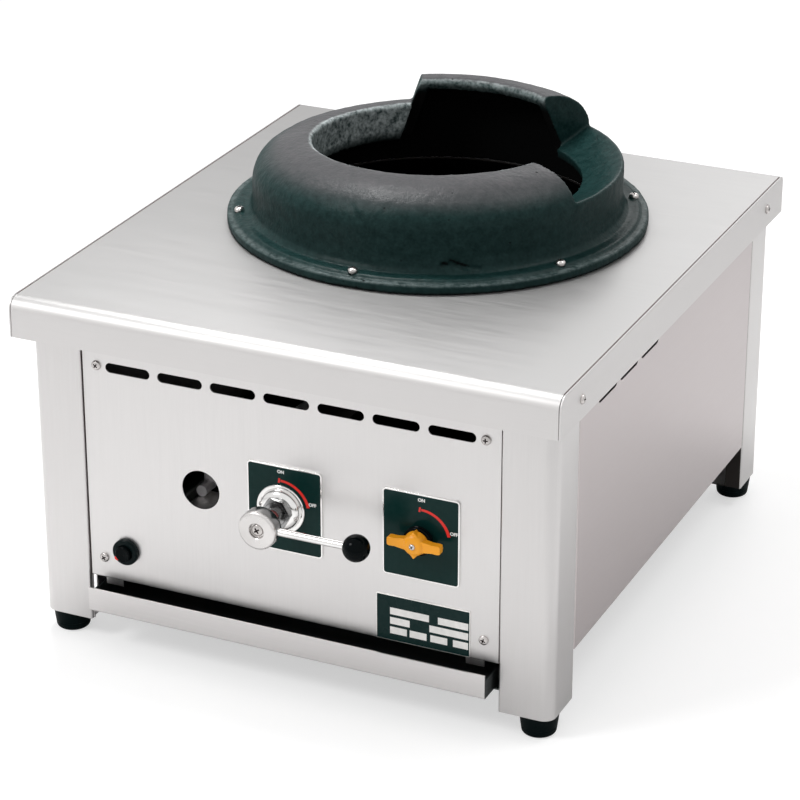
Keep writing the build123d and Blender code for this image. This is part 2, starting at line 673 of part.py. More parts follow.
def closing_panel(face_y, inward):
    """Flat panel between two posts, with a return along its top and bottom edges."""
    path = [(face_y + inward * PANEL_RETURN, PANEL_BOTTOM), (face_y, PANEL_BOTTOM),
            (face_y, PANEL_TOP), (face_y + inward * PANEL_RETURN, PANEL_TOP)]
    section = folded(path, [SHARP_BEND, SHARP_BEND], SHEET, left=inward < 0)
    panel = extrude(Plane.YZ * section, PANEL_HALF, both=True)
    flange_edge = STEP_X - PANEL_FLANGE - PANEL_GAP
    y_low, y_high = sorted((face_y + inward * SHEET, face_y + inward * (PANEL_RETURN + 1)))
    for side in (-1, 1):
        low_x, high_x = sorted((side * flange_edge, side * (PANEL_HALF + 1)))
        panel -= block((low_x, y_low, PANEL_BOTTOM - 1), (high_x, y_high, PANEL_TOP + 1))
    for x, z in panel_screw_spots():
        panel -= rod_y(SCREW_RADIUS + SCREW_CLEARANCE, face_y - 2 * SHEET, face_y + 2 * SHEET, x, z)
    return panel


def front_panel():
    """Front panel with its vent slots, the sight hole and the holes for the controls."""
    panel = closing_panel(PANEL_FRONT_Y, 1)
    first = -(FRONT_SLOTS - 1) / 2 * SLOT_PITCH
    for i in range(FRONT_SLOTS):
        slot = extrude(Plane.XZ * SlotOverall(SLOT_LENGTH, SLOT_HEIGHT), 3 * SHEET, both=True)
        panel -= Pos(first + i * SLOT_PITCH, PANEL_FRONT_Y, TOP_HEIGHT - FRONT_SLOT_DROP) * slot
    holes = [(SIGHT_X, SIGHT_Z, SIGHT_RADIUS), (IGNITER_X, IGNITER_Z, IGNITER_RADIUS + SEAT_GAP),
             (VALVE_X, AXIS_Z, VALVE_NECK_RADIUS + SEAT_GAP),
             (PILOT_X, AXIS_Z, PILOT_NECK_RADIUS + SEAT_GAP)]
    for x, z, radius in holes:
        panel -= rod_y(radius, PANEL_FRONT_Y - SHEET, PANEL_BACK_Y + SHEET, x, z)
    return panel


def rear_panel():
    """Rear panel with the hole for the gas inlet."""
    panel = closing_panel(REAR_PANEL_Y, -1)
    return panel - rod_y(INLET_RADIUS + 1, REAR_PANEL_Y - 2 * SHEET, REAR_PANEL_Y + SHEET,
                         SUPPLY_X, MANIFOLD_Z)


def panel_screws(face_y, outward):
    """Four screws through a panel into the post flanges."""
    screw = pan_screw(SCREW_HEAD_RADIUS, SCREW_HEAD_HEIGHT, SCREW_RADIUS, SCREW_LENGTH)
    turn = Rot(90, 0, 0) if outward < 0 else Rot(-90, 0, 0)
    return Compound(children=[Pos(x, face_y, z) * turn * screw for x, z in panel_screw_spots()])


def skirt_screws():
    """Four screws through the side skirts into the posts."""
    screw = pan_screw(SCREW_HEAD_RADIUS, SCREW_HEAD_HEIGHT, SCREW_RADIUS, SKIRT_SCREW_LENGTH)
    group = []
    for _, sign_x, sign_y in corners():
        place = Pos(sign_x * HALF_WIDTH, sign_y * SKIRT_SCREW_Y, SKIRT_SCREW_Z) * Rot(0, sign_x * 90, 0)
        group.append(place * screw)
    return Compound(children=group)


# ---------------------------------------------------------------- cast wok ring
def dome_solid():
    """Front dome: an outer quarter ellipse over a cored shell, with a deep inner lip."""
    z0 = TOP_HEIGHT + FLANGE_THICK / 2
    spring_z = TOP_HEIGHT + DOME_SPRING
    crest_z = spring_z + DOME_RISE
    lip_x = DOME_CREST_RADIUS - LIP_ROUND
    lip_foot_z = crest_z - LIP_DEPTH
    core_x = lip_x + LIP_WIDTH
    core_rise = DOME_RISE - CAST_THICK
    outline = [
        Line((WALL_RADIUS, z0), (WALL_RADIUS, spring_z)),
        EllipticalCenterArc((DOME_CREST_RADIUS, spring_z), WALL_RADIUS - DOME_CREST_RADIUS, DOME_RISE, 0,
                            arc_size=90),
        CenterArc((DOME_CREST_RADIUS, crest_z - LIP_ROUND), LIP_ROUND, 90, 90),
        Line((lip_x, crest_z - LIP_ROUND), (lip_x + LIP_DRAFT, lip_foot_z)),
        Line((lip_x + LIP_DRAFT, lip_foot_z), (core_x, lip_foot_z)),
        Line((core_x, lip_foot_z), (core_x, spring_z + core_rise)),
        EllipticalCenterArc((core_x, spring_z), WALL_BORE - core_x, core_rise, 0, arc_size=90),
        Line((WALL_BORE, spring_z), (WALL_BORE, z0)),
        Line((WALL_BORE, z0), (WALL_RADIUS, z0)),
    ]
    dome = revolve(Plane.XZ * make_face(outline), axis=Axis.Z)
    tilt = Matrix([[1, 0, 0, 0], [0, 1, 0, 0], [DOME_SLOPE_X, DOME_SLOPE_Y, 1, 0], [0, 0, 0, 1]])
    return dome.transform_geometry(tilt)


def notch_solid():
    """Low sector: the wall's top and the sloping seat shelf, open above."""
    top_z = TOP_HEIGHT + SEAT_HEIGHT
    seat_z = top_z - SEAT_DROP
    heel_z = top_z - SEAT_HEEL
    return turned_z([(WALL_BORE, SPLIT_Z), (WALL_RADIUS, SPLIT_Z), (WALL_RADIUS, top_z - SEAT_EDGE),
                     (WALL_RADIUS - SEAT_EDGE, top_z), (SEAT_RADIUS, seat_z),
                     (SEAT_RADIUS + SEAT_EDGE, seat_z - SEAT_THICK), (WALL_BORE, heel_z)])


def hood_section(cored):
    """Section of the raised rear hood, either solid or as a shell under its outer skin."""
    spring_z = TOP_HEIGHT + HOOD_SPRING
    crest_z = spring_z + HOOD_RISE
    seat_z = TOP_HEIGHT + SEAT_HEIGHT - SEAT_DROP
    lip_top_x = HOOD_LIP_RADIUS + HOOD_LIP_ROUND
    edges = [
        Line((WALL_BORE, SPLIT_Z), (WALL_RADIUS, SPLIT_Z)),
        Line((WALL_RADIUS, SPLIT_Z), (WALL_RADIUS, spring_z)),
        EllipticalCenterArc((lip_top_x, spring_z), WALL_RADIUS - lip_top_x, HOOD_RISE, 0, arc_size=90),
        CenterArc((lip_top_x, crest_z - HOOD_LIP_ROUND), HOOD_LIP_ROUND, 90, 90),
    ]
    lip_in = (HOOD_LIP_RADIUS, crest_z - HOOD_LIP_ROUND)
    if cored:
        lip_foot = (HOOD_LIP_RADIUS + SEAT_EDGE, crest_z - HOOD_LIP_DEPTH)
        core_rise = HOOD_RISE - CAST_THICK
        core_x = HOOD_LIP_RADIUS + CAST_THICK
        edges += [Line(lip_in, lip_foot), Line(lip_foot, (core_x, spring_z + core_rise)),
                  EllipticalCenterArc((core_x, spring_z), WALL_BORE - core_x, core_rise, 0, arc_size=90),
                  Line((WALL_BORE, spring_z), (WALL_BORE, SPLIT_Z))]
    else:
        foot = (HOOD_FOOT_RADIUS, seat_z)
        under = (HOOD_FOOT_RADIUS + SEAT_EDGE, seat_z - SEAT_THICK)
        heel = (WALL_BORE, TOP_HEIGHT + SEAT_HEIGHT - SEAT_HEEL)
        edges += [Line(lip_in, foot), Line(foot, under), Line(under, heel),
                  Line(heel, (WALL_BORE, SPLIT_Z))]
    return revolve(Plane.XZ * make_face(edges), axis=Axis.Z)


def wok_ring():
    """One casting: flange and wall all round, then the dome, the notch and the hood by sector."""
    z0, z1 = TOP_HEIGHT, FLANGE_TOP_Z
    ledge_x = FLANGE_RADIUS - FLANGE_LEDGE
    base = turned_z([(WALL_BORE, z0), (FLANGE_RADIUS, z0), (FLANGE_RADIUS, z1 - FLANGE_STEP),
                     (ledge_x, z1 - FLANGE_STEP), (ledge_x - FLANGE_DRAFT, z1),
                     (WALL_RADIUS + WALL_BASE_FILLET, z1),
                     (WALL_RADIUS + WALL_DRAFT, z1 + WALL_BASE_FILLET),
                     (WALL_RADIUS, SPLIT_Z), (WALL_BORE, SPLIT_Z)])
    above = block((-FLANGE_RADIUS, -FLANGE_RADIUS, SPLIT_Z),
                  (FLANGE_RADIUS, FLANGE_RADIUS, SPLIT_Z + 2 * SEAT_HEIGHT))
    hood_side = half_space(HOOD_END, HOOD_END_LEAN)
    past_notch = half_space(NOTCH_START + 180)
    past_hood = half_space(HOOD_START + 180)
    open_sector = hood_side & past_notch
    dome = (dome_solid() & above) - open_sector
    notch = notch_solid() & past_notch & half_space(HOOD_START)
    hood_sector = hood_side & past_hood
    web_a = half_space(HOOD_START + HOOD_WEB_ANGLE)
    web_b = half_space(HOOD_END - HOOD_WEB_ANGLE + 180, -HOOD_END_LEAN)
    shell = hood_section(True) & hood_sector
    webs = hood_section(False) & hood_sector
    webs = (webs & web_a) + (webs & web_b)
    ring = base + dome + notch + shell + webs
    return drilled_for_ring(Pos(0, RING_Y, 0) * ring, RING_SCREW_SHANK + SCREW_CLEARANCE)


def ring_screws():
    """Six screws that clamp the ring, the top sheet and the fire pot's flange."""
    screw = pan_screw(RING_SCREW_HEAD, RING_SCREW_HEAD_HEIGHT, RING_SCREW_SHANK, RING_SCREW_LENGTH)
    return Compound(children=[Pos(x, y + RING_Y, FLANGE_TOP_Z) * screw for x, y in ring_screw_spots()])


# ---------------------------------------------------------------- fire pot and burner
def fire_pot():
    """Spun sheet pot that hangs under the top and narrows to the burner's mouth."""
    path = [(POT_FLANGE_RADIUS, UNDER_TOP_Z), (POT_RADIUS + POT_BEND, UNDER_TOP_Z),
            (POT_RADIUS, UNDER_TOP_Z - POT_BEND), (POT_RADIUS, POT_SHOULDER_Z),
            (POT_MOUTH_RADIUS, POT_MOUTH_Z)]
    wall = polygon(path + offset_points(path, SHEET)[::-1])
    pot = Pos(0, RING_Y, 0) * revolve(Plane.XZ * wall, axis=Axis.Z)
    return drilled_for_ring(pot, RING_SCREW_SHANK + SCREW_CLEARANCE)


def burner_bowl():
    """Cast burner body: a flared bowl on a short leg, with a socket for the mixing tube."""
    waist_z = BOWL_BASE_Z + BOWL_WAIST
    floor_z = BOWL_BASE_Z + BOWL_WALL
    flare = BOWL_RADIUS - BOWL_FLARE
    outer = turned_z([(0, STRAP_TOP_Z), (BOWL_LEG_RADIUS, STRAP_TOP_Z), (BOWL_LEG_RADIUS, BOWL_BASE_Z),
                      (BOWL_RADIUS / 2, BOWL_BASE_Z + BOWL_FLARE), (flare, waist_z),
                      (BOWL_RADIUS, BOWL_TOP_Z), (0, BOWL_TOP_Z)])
    hollow = turned_z([(0, floor_z), (BOWL_RADIUS / 2 - BOWL_WALL / 2, floor_z),
                       (flare - BOWL_WALL, waist_z + BOWL_FLARE), (BOWL_RADIUS - BOWL_WALL, BOWL_TOP_Z),
                       (0, BOWL_TOP_Z)])
    bowl = Pos(0, RING_Y, 0) * outer
    socket = rod_y(TUBE_RADIUS, TUBE_REAR_Y, RING_Y - BOWL_RADIUS / 3, VALVE_X, AXIS_Z)
    socket += rod_y(TUBE_FLANGE_RADIUS, TUBE_REAR_Y, TUBE_REAR_Y + TUBE_FLANGE_THICK, VALVE_X, AXIS_Z)
    bowl = bowl + socket - Pos(0, RING_Y, 0) * hollow
    return bowl - rod_y(TUBE_BORE, TUBE_REAR_Y - 1, RING_Y - BOWL_RADIUS / 4, VALVE_X, AXIS_Z)


def burner_cap():
    """Cap with a bevelled crown, cut by a ring of flame ports that reach into its hollow."""
    z0, z1 = BOWL_TOP_Z, BOWL_TOP_Z + CAP_HEIGHT
    rim = BOWL_RADIUS - BOWL_WALL - CAP_FIT
    crown = CAP_RADIUS / 3
    shoulder = rim - CAP_WALL - CAP_SPIGOT
    cap = turned_z([(rim - CAP_WALL, z0 - CAP_SPIGOT), (rim, z0 - CAP_SPIGOT), (rim, z0), (CAP_RADIUS, z0),
                    (CAP_RADIUS, z0 + CAP_WALL), (CAP_RADIUS - CAP_BEVEL, z1 - CAP_SPIGOT / 2), (crown, z1),
                    (0, z1), (0, z1 - CAP_WALL), (crown, z1 - CAP_WALL),
                    (shoulder, z1 - CAP_WALL - CAP_SPIGOT)])
    port_low = (shoulder - CAP_PORT_REACH, -CAP_PORT_WIDTH / 2, z0 + CAP_SPIGOT)
    port = block(port_low, (CAP_RADIUS + 1, CAP_PORT_WIDTH / 2, z1 + 1))
    for i in range(CAP_PORTS):
        cap -= Rot(0, 0, i * 360 / CAP_PORTS) * port
    return Pos(0, RING_Y, 0) * cap


def windows(outer_radius):
    """Cutters for the air windows above and below the mixing tube's mouth."""
    y = TUBE_FRONT_Y + SHUTTER_LENGTH / 2
    return Pos(VALVE_X, y, AXIS_Z) * Box(WINDOW_WIDTH, WINDOW_LENGTH, 3 * outer_radius)


def mixing_tube():
    """Cast mixing tube: a windowed mouth, a narrow throat and a flange on the bowl."""
    shoulder = TUBE_FRONT_Y + SHUTTER_LENGTH + SEAT_GAP
    throat = shoulder + (TUBE_REAR_Y - shoulder) / 3
    wall = TUBE_RADIUS - TUBE_BORE
    collar = TUBE_RADIUS + TUBE_SHOULDER
    flange_y = TUBE_REAR_Y - TUBE_FLANGE_THICK
    outer = [(0, TUBE_FRONT_Y), (TUBE_RADIUS, TUBE_FRONT_Y), (TUBE_RADIUS, shoulder), (collar, shoulder),
             (collar, shoulder + TUBE_SHOULDER), (TUBE_THROAT + wall, throat),
             (TUBE_RADIUS, flange_y - TUBE_SHOULDER), (TUBE_RADIUS, flange_y),
             (TUBE_FLANGE_RADIUS, flange_y), (TUBE_FLANGE_RADIUS, TUBE_REAR_Y), (0, TUBE_REAR_Y)]
    bore = [(0, TUBE_FRONT_Y + wall), (TUBE_BORE, TUBE_FRONT_Y + wall), (TUBE_BORE, shoulder),
            (TUBE_THROAT, throat), (TUBE_BORE, TUBE_REAR_Y + 1), (0, TUBE_REAR_Y + 1)]
    tube = turned_y(outer, VALVE_X, AXIS_Z) - turned_y(bore, VALVE_X, AXIS_Z) - windows(TUBE_RADIUS)
    nose = INJECTOR_RADIUS + SCREW_CLEARANCE
    return tube - rod_y(nose, TUBE_FRONT_Y - 1, TUBE_FRONT_Y + wall + 1, VALVE_X, AXIS_Z)


def air_shutter():
    """Sleeve that turns on the mixing tube's mouth and covers or opens its windows."""
    inner = TUBE_RADIUS + SHUTTER_CLEARANCE
    outer = inner + SHUTTER_WALL
    y0, y1 = TUBE_FRONT_Y, TUBE_FRONT_Y + SHUTTER_LENGTH
    sleeve = turned_y([(inner, y0), (outer, y0), (outer, y1), (inner, y1)], VALVE_X, AXIS_Z)
    tab_x = VALVE_X - outer
    tab = block((tab_x - SHUTTER_TAB, y0, AXIS_Z - SHUTTER_TAB / 2),
                (tab_x + SHUTTER_WALL / 2, y0 + SHUTTER_WALL, AXIS_Z + SHUTTER_TAB / 2))
    return sleeve + tab - windows(outer)


def burner_bracket():
    """Strap that bridges the two tray runners and carries the burner's leg."""
    under = STRAP_TOP_Z - STRAP_THICK
    foot_x = STRAP_HALF + STRAP_FOOT
    path = [(foot_x, SIDE_BOTTOM), (STRAP_HALF, SIDE_BOTTOM), (STRAP_HALF, under), (-STRAP_HALF, under),
            (-STRAP_HALF, SIDE_BOTTOM), (-foot_x, SIDE_BOTTOM)]
    radii = [STRAP_THICK + STRAP_BEND, STRAP_BEND, STRAP_BEND, STRAP_THICK + STRAP_BEND]
    section = folded(path, radii, STRAP_THICK, left=False)
    return Pos(0, RING_Y, 0) * extrude(Plane.XZ * section, STRAP_WIDTH / 2, both=True)


# ---------------------------------------------------------------- gas side
def pipe_run(points, bends, radius, bore):
    """Bent tube along filleted straight runs."""
    path = FilletPolyline(*points, radius=bends)
    start = Plane(path @ 0, z_dir=path % 0)
    ring = Circle(radius) - Circle(bore)
    return sweep(start * ring, path=path)


def gas_manifold():
    """Supply pipe from the rear inlet, elbowed behind the front panel, with a tee for each valve."""
    points = [(PIPE_LEFT_X, MANIFOLD_Y, MANIFOLD_Z), (SUPPLY_X, MANIFOLD_Y, MANIFOLD_Z),
              (SUPPLY_X, SUPPLY_END_Y, MANIFOLD_Z)]
    bore = PIPE_RADIUS - PIPE_WALL
    pipe = pipe_run(points, PIPE_BEND, PIPE_RADIUS, bore)
    cap = Rot(0, 90, 0) * Cylinder(PIPE_RADIUS, PIPE_CAP, align=(Align.CENTER, Align.CENTER, Align.MIN))
    pipe += Pos(PIPE_LEFT_X - PIPE_CAP, MANIFOLD_Y, MANIFOLD_Z) * cap
    for x in (VALVE_X, TEE_PILOT_X):
        pipe += rod_z(TEE_RADIUS, MANIFOLD_Z, TEE_TOP_Z, x, MANIFOLD_Y)
    return pipe


def gas_inlet():
    """Rear inlet: a socket on the pipe, a hexagon against the panel and a threaded stub."""
    panel_in = REAR_PANEL_Y - SHEET - SEAT_GAP
    socket_y = panel_in - INLET_SOCKET_LENGTH
    hex_y1 = REAR_PANEL_Y + SEAT_GAP + INLET_HEX_THICK
    inlet = rod_y(INLET_SOCKET_RADIUS, socket_y, panel_in, SUPPLY_X, MANIFOLD_Z)
    inlet += rod_y(INLET_RADIUS, panel_in, FRONT_REACH, SUPPLY_X, MANIFOLD_Z)
    inlet += hex_y(INLET_HEX, REAR_PANEL_Y + SEAT_GAP, hex_y1, SUPPLY_X, MANIFOLD_Z)
    socket = PIPE_RADIUS + SCREW_CLEARANCE
    inlet -= rod_y(socket, socket_y - 1, SUPPLY_END_Y + SEAT_GAP, SUPPLY_X, MANIFOLD_Z)
    return inlet - rod_y(INLET_BORE, SUPPLY_END_Y - 1, FRONT_REACH + 1, SUPPLY_X, MANIFOLD_Z)


def main_valve_body():
    """Brass cock: barrel, neck through the panel, boss on the manifold and a bored outlet."""
    body = turned_y([(0, VALVE_BODY_REAR_Y), (VALVE_BODY_RADIUS - VALVE_BODY_TAPER, VALVE_BODY_REAR_Y),
                     (VALVE_BODY_RADIUS, VALVE_BODY_REAR_Y - 2 * VALVE_BODY_TAPER),
                     (VALVE_BODY_RADIUS, VALVE_BODY_FRONT_Y),
                     (VALVE_NECK_RADIUS, VALVE_BODY_FRONT_Y), (VALVE_NECK_RADIUS, VALVE_NECK_FRONT_Y),
                     (0, VALVE_NECK_FRONT_Y)], VALVE_X, AXIS_Z)
    body += rod_z(BOSS_RADIUS, TEE_TOP_Z, AXIS_Z, VALVE_X, MANIFOLD_Y)
    bore = STEM_RADIUS + STEM_CLEARANCE
    return body - rod_y(bore, VALVE_NECK_FRONT_Y - 1, STEM_REAR_Y + SEAT_GAP, VALVE_X, AXIS_Z)


def main_valve_stem():
    """Turning stem from the cock to the lever hub, drilled for the lever screw."""
    front = HUB_BORE_END_Y + SEAT_GAP
    stem = rod_y(STEM_RADIUS, front, STEM_REAR_Y, VALVE_X, AXIS_Z)
    hole = LEVER_SCREW_SHANK + SCREW_CLEARANCE
    return stem - rod_y(hole, front - 1, front + LEVER_SCREW_LENGTH, VALVE_X, AXIS_Z)


def injector():
    """Brass jet on the cock's outlet, reaching into the mixing tube."""
    hex_rear = VALVE_BODY_REAR_Y + INJECTOR_HEX_THICK
    jet = hex_y(INJECTOR_HEX, VALVE_BODY_REAR_Y, hex_rear, VALVE_X, AXIS_Z)
    cone_y = INJECTOR_TIP_Y - INJECTOR_TIP_CONE
    jet += turned_y([(0, hex_rear), (INJECTOR_RADIUS, hex_rear), (INJECTOR_RADIUS, cone_y),
                     (INJECTOR_RADIUS - INJECTOR_TIP_CONE, INJECTOR_TIP_Y), (0, INJECTOR_TIP_Y)],
                    VALVE_X, AXIS_Z)
    return jet - rod_y(INJECTOR_ORIFICE, hex_rear, INJECTOR_TIP_Y + 1, VALVE_X, AXIS_Z)


def valve_escutcheon():
    """Pressed chrome dish over the valve neck, in four drawn steps."""
    rim_y = PLATE_FRONT_Y
    hole = VALVE_NECK_RADIUS + SCREW_CLEARANCE
    crown = (hole + ESCUTCHEON_WALL, rim_y - ESCUTCHEON_HEIGHT)
    bead_y = rim_y - ESCUTCHEON_WALL
    slope = [(ESCUTCHEON_RADIUS, rim_y), (ESCUTCHEON_RADIUS, bead_y)]
    for i in range(1, ESCUTCHEON_STEPS):
        t = radians(90 * i / ESCUTCHEON_STEPS)
        radius = crown[0] + (ESCUTCHEON_RADIUS - crown[0]) * cos(t)
        slope.append((radius, bead_y + (crown[1] - bead_y) * sin(t)))
    outer = slope + [crown, (hole, crown[1])]
    inner = [(r - ESCUTCHEON_WALL, y + ESCUTCHEON_WALL) for r, y in slope[2:]]
    rim = [(ESCUTCHEON_RADIUS - ESCUTCHEON_WALL, rim_y)]
    return turned_y(outer + [(hole, crown[1] + ESCUTCHEON_WALL)] + inner[::-1] + rim, VALVE_X, AXIS_Z)


def neck_nut():
    """Chrome nut that holds the escutcheon on the neck."""
    rear = PLATE_FRONT_Y - ESCUTCHEON_HEIGHT
    front = rear - NECK_NUT_THICK
    nut = hex_y(NECK_NUT_HEX, front, rear, VALVE_X, AXIS_Z)
    return nut - rod_y(VALVE_NECK_RADIUS + SCREW_CLEARANCE, front - 1, rear + 1, VALVE_X, AXIS_Z)


def lever_hub():
    """Chrome hub: bevelled disc in front, cone and neck behind, cross-drilled for the rod."""
    disc_rear = HUB_FRONT_Y + HUB_DISC_THICK
    hub = turned_y([(0, HUB_FRONT_Y), (HUB_RADIUS - HUB_BEVEL, HUB_FRONT_Y),
                    (HUB_RADIUS, HUB_FRONT_Y + HUB_BEVEL),
                    (HUB_RADIUS, disc_rear - HUB_BEVEL), (HUB_RADIUS - HUB_BEVEL, disc_rear),
                    (HUB_NECK_RADIUS, HUB_NECK_Y - HUB_NECK_LENGTH), (HUB_NECK_RADIUS, HUB_NECK_Y),
                    (0, HUB_NECK_Y)], VALVE_X, AXIS_Z)
    hub -= rod_y(STEM_RADIUS + SCREW_CLEARANCE, HUB_BORE_END_Y, HUB_NECK_Y + 1, VALVE_X, AXIS_Z)
    hub -= rod_y(LEVER_SCREW_SHANK + SCREW_CLEARANCE, HUB_FRONT_Y, HUB_BORE_END_Y + 1, VALVE_X, AXIS_Z)
    hub -= rod_y(HUB_RECESS_RADIUS, HUB_FRONT_Y - 1, HUB_FRONT_Y + HUB_RECESS_DEPTH, VALVE_X, AXIS_Z)
    return hub - rod_x(ROD_RADIUS + SCREW_CLEARANCE, VALVE_X + ROD_START, VALVE_X + HUB_RADIUS + 1)


def rod_x(radius, x_low, x_high):
    """Round bar along X on the lever rod's axis."""
    bar = Cylinder(radius, x_high - x_low, align=(Align.CENTER, Align.CENTER, Align.MIN))
    return Pos(x_low, ROD_Y, AXIS_Z) * Rot(0, 90, 0) * bar


def lever_rod():
    """Chrome lever rod between the hub and the ball."""
    ball_x = VALVE_X + BALL_REACH
    end = ball_x - BALL_RADIUS + ROD_DEPTH_IN_BALL
    return rod_x(ROD_RADIUS, VALVE_X + ROD_START + SEAT_GAP, end)


def lever_ball():
    """Ball grip, drilled for the rod."""
    ball_x = VALVE_X + BALL_REACH
    ball = Pos(ball_x, ROD_Y, AXIS_Z) * Sphere(BALL_RADIUS)
    depth = ball_x - BALL_RADIUS + ROD_DEPTH_IN_BALL + SEAT_GAP
    return ball - rod_x(ROD_RADIUS + SCREW_CLEARANCE, ball_x - 2 * BALL_RADIUS, depth)


def lever_screw():
    """Screw that clamps the hub on the stem, its head in the hub's recess."""
    screw = pan_screw(LEVER_SCREW_HEAD, SCREW_HEAD_HEIGHT, LEVER_SCREW_SHANK, LEVER_SCREW_LENGTH)
    return Pos(VALVE_X, HUB_FRONT_Y + HUB_RECESS_DEPTH, AXIS_Z) * Rot(90, 0, 0) * screw


def pilot_valve_body():
    """Pilot cock: barrel, neck through the panel, inlet boss and side outlet."""
    body = turned_y([(0, PILOT_BODY_REAR_Y), (PILOT_BODY_RADIUS, PILOT_BODY_REAR_Y),
                     (PILOT_BODY_RADIUS, PILOT_BODY_FRONT_Y), (PILOT_NECK_RADIUS, PILOT_BODY_FRONT_Y),
                     (PILOT_NECK_RADIUS, PILOT_NECK_FRONT_Y), (0, PILOT_NECK_FRONT_Y)], PILOT_X, AXIS_Z)
    body += rod_z(PILOT_BOSS_RADIUS, TEE_TOP_Z, AXIS_Z, TEE_PILOT_X, MANIFOLD_Y)
    reach = TEE_PILOT_X - PILOT_OUTLET_X
    outlet = Cylinder(PILOT_OUTLET_RADIUS, reach, align=(Align.CENTER, Align.CENTER, Align.MIN))
    body += Pos(PILOT_OUTLET_X, MANIFOLD_Y, AXIS_Z) * Rot(0, 90, 0) * outlet
    bore = PILOT_STEM_RADIUS + STEM_CLEARANCE
    return body - rod_y(bore, PILOT_NECK_FRONT_Y - 1, STEM_REAR_Y + SEAT_GAP, PILOT_X, AXIS_Z)


def pilot_stem():
    """Stem of the pilot cock."""
    front = KNOB_FRONT_Y + PILOT_STEM_COVER
    stem = rod_y(PILOT_STEM_RADIUS, front, STEM_REAR_Y, PILOT_X, AXIS_Z)
    hole = KNOB_SCREW_SHANK + SCREW_CLEARANCE
    return stem - rod_y(hole, front - 1, KNOB_FRONT_Y + KNOB_SCREW_LENGTH + SEAT_GAP, PILOT_X, AXIS_Z)


def knob_collar():
    """Black collar behind the wing, over the cock's neck."""
    bore = PILOT_STEM_RADIUS + SCREW_CLEARANCE
    return turned_y([(bore, COLLAR_FRONT_Y), (COLLAR_RADIUS - 1, COLLAR_FRONT_Y),
                     (COLLAR_RADIUS, COLLAR_FRONT_Y + 1),
                     (COLLAR_RADIUS, COLLAR_REAR_Y), (bore, COLLAR_REAR_Y)], PILOT_X, AXIS_Z)


def pilot_knob():
    """Yellow wing: a round hub with two tapered grips and softened front edges."""
    half = [(KNOB_TIP, 0), (KNOB_TIP, KNOB_TIP_HALF),
            (KNOB_TIP - KNOB_FLARE, KNOB_TIP_HALF + KNOB_FLARE / 2), (0, KNOB_ROOT_HALF)]
    upper = half + [(-x, z) for x, z in half[-2::-1]]
    wing = polygon(upper + [(x, -z) for x, z in upper[-2:0:-1]])
    outline = Plane.XZ * (Circle(KNOB_HUB_RADIUS) + wing)
    knob = Pos(PILOT_X, COLLAR_FRONT_Y, AXIS_Z) * extrude(outline, KNOB_THICK)
    knob = chamfer(knob.faces().sort_by(Axis.Y)[0].edges(), KNOB_EDGE)
    stem_front = KNOB_FRONT_Y + PILOT_STEM_COVER - SEAT_GAP
    knob -= rod_y(PILOT_STEM_RADIUS + SCREW_CLEARANCE, stem_front, COLLAR_FRONT_Y + 1, PILOT_X, AXIS_Z)
    hole = KNOB_SCREW_SHANK + SCREW_CLEARANCE
    return knob - rod_y(hole, KNOB_FRONT_Y - 1, stem_front + 1, PILOT_X, AXIS_Z)


def pilot_knob_screw():
    """Small screw at the centre of the wing knob."""
    screw = pan_screw(KNOB_SCREW_HEAD, KNOB_SCREW_HEAD_HEIGHT, KNOB_SCREW_SHANK, KNOB_SCREW_LENGTH)
    return Pos(PILOT_X, KNOB_FRONT_Y, AXIS_Z) * Rot(90, 0, 0) * screw


def dial_plate(axis_x, shift, neck_radius):
    """Dial plate on the front panel, round a cock's neck and a little to one side of it."""
    outline = Plane.XZ * RectangleRounded(DIAL_WIDTH, DIAL_HEIGHT, PLATE_CORNER)
    solid = Pos(axis_x + shift, PANEL_FRONT_Y, AXIS_Z) * extrude(outline, PLATE_THICK)
    return solid - rod_y(neck_radius + SEAT_GAP, PLATE_FRONT_Y - 1, PANEL_FRONT_Y + 1, axis_x, AXIS_Z)


def rating_plate():
    """Thin plate near the panel's lower right corner."""
    outline = Plane.XZ * RectangleRounded(RATING_WIDTH, RATING_HEIGHT, RATING_CORNER)
    x = STEP_X - RATING_INSET - RATING_WIDTH / 2
    return Pos(x, PANEL_FRONT_Y, RATING_LOW_Z + RATING_HEIGHT / 2) * extrude(outline, RATING_THICK)


# ---------------------------------------------------------------- pilot burner and ignition
def pilot_burner():
    """Pilot tube from the sight hole to the burner's rim, with a gas block near its front."""
    points = [(PILOT_BURNER_X, PILOT_BURNER_Y, PILOT_BURNER_Z),
              (PILOT_BURNER_X, PILOT_RISER_Y - PILOT_RAMP_RUN, PILOT_BURNER_Z),
              (PILOT_RISER_X, PILOT_RISER_Y, PILOT_BURNER_Z + PILOT_RAMP),
              (PILOT_RISER_X, PILOT_RISER_Y, PILOT_RISER_TOP_Z)]
    tube = pipe_run(points, PILOT_BURNER_BEND, PILOT_BURNER_RADIUS, PILOT_BURNER_BORE)
    plug_y = PILOT_BURNER_Y - PILOT_PLUG
    plug = rod_y(PILOT_BURNER_RADIUS, plug_y, PILOT_BURNER_Y, PILOT_BURNER_X, PILOT_BURNER_Z)
    gas_block = rod_z(PILOT_BLOCK_RADIUS, PILOT_BURNER_Z, PILOT_BLOCK_TOP_Z, PILOT_BURNER_X, PILOT_BLOCK_Y)
    return tube + plug + gas_block


def pilot_bracket():
    """Bent tab behind the sight hole that carries the pilot burner's front end."""
    top = PILOT_BURNER_Z - PILOT_BURNER_RADIUS - SEAT_GAP
    back = PANEL_BACK_Y
    path = [(back, top - BRACKET_DROP), (back, top), (back + BRACKET_REACH, top)]
    section = folded(path, [SHARP_BEND + SHEET], SHEET, left=False)
    return Pos(BRACKET_X, 0, 0) * extrude(Plane.YZ * section, BRACKET_WIDTH / 2, both=True)


